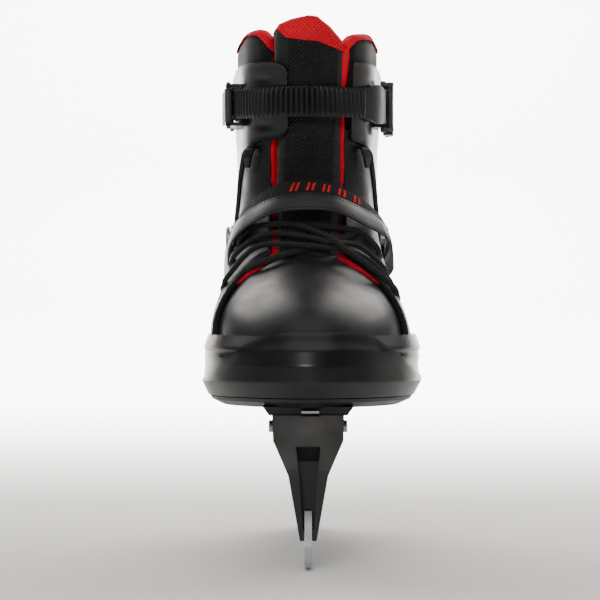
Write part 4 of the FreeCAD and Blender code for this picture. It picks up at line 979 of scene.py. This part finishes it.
black_thread = textured(finish("black thread", (0.0030, 0.0030, 0.0035), 0.7), cloth, {}, (0.0100, 0.0100, 0.0110),
                        (0.6, 0.8), (0.2, 0.0002))
for edge, inset in (("low", 1.5), ("high", -1.5)):
    spots = []
    for k in range(96):
        along = 0.035 + 0.9 * k / 95
        _, values = on_strap(along, 0, 0)
        height = (values[9] if edge == "low" else values[10]) + inset
        here, there = on_strap(along, height, 1.62)[0], on_strap(along + 0.004, height, 1.62)[0]
        spots.append((here, there - here, Vector(values[6:9]).normalized()))
    row_of(f"strap_stitches_{edge}", spots, (0.75, 0.24, 0.22), black_thread, "instep_strap")
red_thread = textured(finish("red thread", (0.6, 0.01, 0.014), 0.8, Specular_IOR_Level=0.15), ribs, {"Ribs": 1300.0},
                      (0.8, 0.03, 0.035), (0.7, 0.85), (0.7, 0.0003), "UV")
for k, along in enumerate((0.452, 0.505, 0.558, 0.611, 0.664)):
    for j, shift in enumerate((0.0, 0.017)):
        def on_bar(across, up, along=along + shift):
            _, values = on_strap(along, 0, 0)
            low, high = values[10] + 2.6, values[11] - 2.4
            return on_strap(along + 0.0085 * across + 0.010 * up, low + (high - low) * up,
                            0.45 + 0.25 * math.sin(math.pi * up) + 0.12 * math.sin(math.pi * across))[0]
        bar = skin(f"woven_bar_{k}_{j}", 6, 12, on_bar, 0.35, 0.1)
        dress(bar, red_thread, "instep_strap", slot="lining_cloth")

# Laces: oval woven black cord, 3.5 mm wide, crossing the throat over the eyestays and ending in rolled metal
# eyelets on the sides. The runs cross each other loosely, as they do when the boot is worn open.
lace_cloth = textured(finish("lace cloth", (0.0049, 0.0049, 0.0054), 0.8), cloth, {"Threads": 1100.0},
                      (0.036, 0.036, 0.038), (0.7, 0.9), (1.0, 0.0005), "UV")


def over_boot(x, z, lift):
    return tongue_point(x, z, lift)


def beside(turn, z, lift):
    return on_last(turn, z, lift)


LACES = {
    "lower": [beside(-0.36, 147, 1.2), beside(-0.35, 149, 3.9), beside(-0.30, 155, 4.6), over_boot(-36.5, 162, 5.0),
              over_boot(-31, 168, 5.4), over_boot(-22, 171.3, 5.6), over_boot(-6, 170.2, 7.4),
              over_boot(10, 168.6, 7.2), over_boot(24, 166.8, 5.2), over_boot(33, 162.5, 4.8), beside(0.29,
                      155.5, 4.6),
              beside(0.34, 149, 4.0), beside(0.35, 147, 1.2)],
    "middle": [beside(-0.34, 160, 1.2), beside(-0.33, 162, 4.0), beside(-0.27, 168.5, 4.8), over_boot(-29,
            174.4, 5.0),
               over_boot(-20, 177.2, 5.4), over_boot(-8, 175.8, 6.6), over_boot(4, 173.6, 9.0),
               over_boot(14, 170.8, 8.8), over_boot(24, 171.6, 5.4), over_boot(31, 168.2, 4.8), beside(0.285,
                       161.5, 4.6),
               beside(0.33, 155, 4.0), beside(0.34, 153, 1.2)],
    "upper": [beside(-0.33, 171, 1.2), beside(-0.31, 173, 4.2), beside(-0.25, 178.5, 5.0), over_boot(-27, 181.6, 5.2),
              over_boot(-14, 182.4, 5.8), over_boot(-4, 181.0, 6.6), over_boot(5, 177.6, 9.2),
              over_boot(13, 173.4, 10.6), over_boot(22, 166.2, 8.6), over_boot(31, 160.2, 6.6), beside(0.30,
                      151, 4.4),
              beside(0.355, 143.5, 4.0), beside(0.365, 142, 1.2)],
    "top": [over_boot(2, 181.2, 5.6), over_boot(10, 180.4, 6.0), over_boot(20, 179.8, 5.6), over_boot(29, 178.2, 5.0),
            beside(0.27, 172.5, 4.8), beside(0.32, 166, 4.2), beside(0.33, 164, 1.2)],
    "inner": [beside(-0.25, 155, 1.4), over_boot(-30, 158.4, 3.0), over_boot(-20, 162.4, 3.4), over_boot(-8,
            166.2, 3.6),
              over_boot(6, 168.8, 3.4), over_boot(18, 172.6, 3.6), over_boot(25, 176.4, 3.4), over_boot(29,
                      178.8, 1.6)],
}
for name, points in LACES.items():
    lace = tube(f"lace_{name}", points, 1.75, 14, 0.82)
    dress(lace, lace_cloth, "boot", *(["lace"] if name == "lower" else []), slot="lace_cloth")
EYELETS = [LACES["lower"][0], LACES["lower"][-1], LACES["middle"][0], LACES["middle"][-1], LACES["upper"][0],
           LACES["upper"][-1], LACES["top"][-1]]
eyelet_metal = textured(finish("eyelet metal", (0.0250, 0.0250, 0.0275), 0.3, 1.0), ground, {"Along": 1.0},
                        (0.0600, 0.0600, 0.0625), (0.25, 0.4), (0.1, 0.0001))
mesh = bmesh.new()
for spot in EYELETS:
    turn_out = Vector((math.copysign(1, spot.x), -0.32, 0.42)).normalized()
    ring = bmesh.ops.create_circle(mesh, segments=14, radius=0.75)["verts"]
    bmesh.ops.rotate(mesh, verts=ring, cent=(0, 0, 0), matrix=Matrix.Rotation(math.pi / 2, 3, "X"))
    bmesh.ops.translate(mesh, verts=ring, vec=(2.6, 0, 0))
    edges = list({edge for v in ring for edge in v.link_edges})
    bmesh.ops.spin(mesh, geom=ring + edges, cent=(0, 0, 0), axis=(0, 0, 1), angle=2 * math.pi, steps=28,
                          use_merge=True)
    mine = [v for v in mesh.verts if not v.tag]
    aim = turn_out.to_track_quat("Z", "Y").to_matrix().to_4x4()
    bmesh.ops.transform(mesh, verts=mine, matrix=Matrix.Translation(spot + turn_out * 1.5) @ aim)
    for v in mine:
        v.tag = True
bmesh.ops.remove_doubles(mesh, verts=mesh.verts, dist=0.001)
bmesh.ops.scale(mesh, verts=mesh.verts, vec=(MM, MM, MM))
bmesh.ops.recalc_face_normals(mesh, faces=mesh.faces)
dress(made_of("lace_eyelets", mesh), eyelet_metal, "boot", "eyelets", slot="pin_chrome")

# Heel loop: a short length of the same ribbed webbing, folded into a pull loop and sewn to the collar's back.
LOOP = spline([[0, 108.6, 262], [0, 114.5, 264.5], [0, 118.6, 270], [0, 119.6, 277], [0, 117.6, 284.5],
               [0, 112.4, 289.6], [0, 106.4, 291.6]], False)


def on_loop(across, up):
    here, there = Vector(LOOP(up * 6)), Vector(LOOP(min(6, up * 6 + 0.01)))
    return here + Vector(((across - 0.5) * 14, 0, 0))


heel_loop = skin("heel_loop_webbing", 12, 48, on_loop, 1.4, 0.3)
dress(heel_loop, webbing_cloth, "cuff", "heel_loop", slot="strap_webbing")

# Insole: a removable footbed of felt over foam, seen down inside the boot, on the board the skins are lasted to.
felt = textured(finish("insole felt", (0.02, 0.02, 0.022), 0.9, Sheen_Weight=0.3), cloth, {"Threads": 1500.0},
                (0.035, 0.035, 0.038), (0.85, 1.0), (0.4, 0.0003))
for node in ("insole", "insole_board"):
    coat(node, felt)

# Studio: a plain pale floor that sweeps up into a backdrop, one large soft light in front and above, and one on
# each side to draw the edges. The camera stands level with the sole, in front of the toe.
mesh = bmesh.new()
sweep = [(-6.0, 0.0), (2.2, 0.0), (3.0, 0.12), (3.5, 0.4), (3.7, 0.8), (3.75, 1.25)]
spots = [mesh.verts.new((-8.0, y, z)) for y, z in sweep]
edges = [mesh.edges.new(pair) for pair in zip(spots, spots[1:])]
pulled = bmesh.ops.extrude_edge_only(mesh, edges=edges)["geom"]
bmesh.ops.translate(mesh, verts=[v for v in pulled if isinstance(v, bmesh.types.BMVert)], vec=(16, 0, 0))
floor = made_of("studio_floor", mesh)
floor.data.materials.append(finish("pale floor", (0.86, 0.86, 0.86), 0.9))

world = bpy.data.worlds.new("studio")
bpy.context.scene.world = world
world.use_nodes = True
world.node_tree.nodes["Background"].inputs["Color"].default_value = (1, 1, 1, 1)
world.node_tree.nodes["Background"].inputs["Strength"].default_value = 0.07


def soft_light(name, place, aim, size, power):
    data = bpy.data.lights.new(name, "AREA")
    data.shape, data.size, data.size_y, data.energy = "RECTANGLE", size[0], size[1], power
    data.color = (1.0, 0.97, 0.93)
    light = bpy.data.objects.new(name, data)
    light.location = place
    light.rotation_euler = (Vector(aim) - Vector(place)).to_track_quat("-Z", "Y").to_euler()
    bpy.context.scene.collection.objects.link(light)


soft_light("key", (-0.3, -2.0, 1.1), (0, 0, 0.15), (0.7, 0.35), 17)
soft_light("left", (-1.5, 0.15, 0.6), (0, 0, 0.15), (0.8, 1.3), 0.8)
soft_light("right", (1.5, 0.15, 0.6), (0, 0, 0.15), (0.8, 1.3), 2.6)
soft_light("top", (0, -0.5, 1.9), (0, 0, 0.2), (1.8, 0.9), 7)
soft_light("wash", (0, 1.5, 1.4), (0, 1.3, 0), (3.0, 1.4), 85)
soft_light("backdrop", (0, 1.8, 1.9), (0, 3.6, 0.5), (2.4, 0.6), 560)

camera_data = bpy.data.cameras.new("front")
camera_data.lens, camera_data.sensor_width, camera_data.clip_end = 163.8, 36.0, 50.0
camera = bpy.data.objects.new("front", camera_data)
camera.location = (-0.00425, -1.55, 0.140)
camera.rotation_euler = (math.pi / 2, 0, 0)
bpy.context.scene.collection.objects.link(camera)
bpy.context.scene.camera = camera
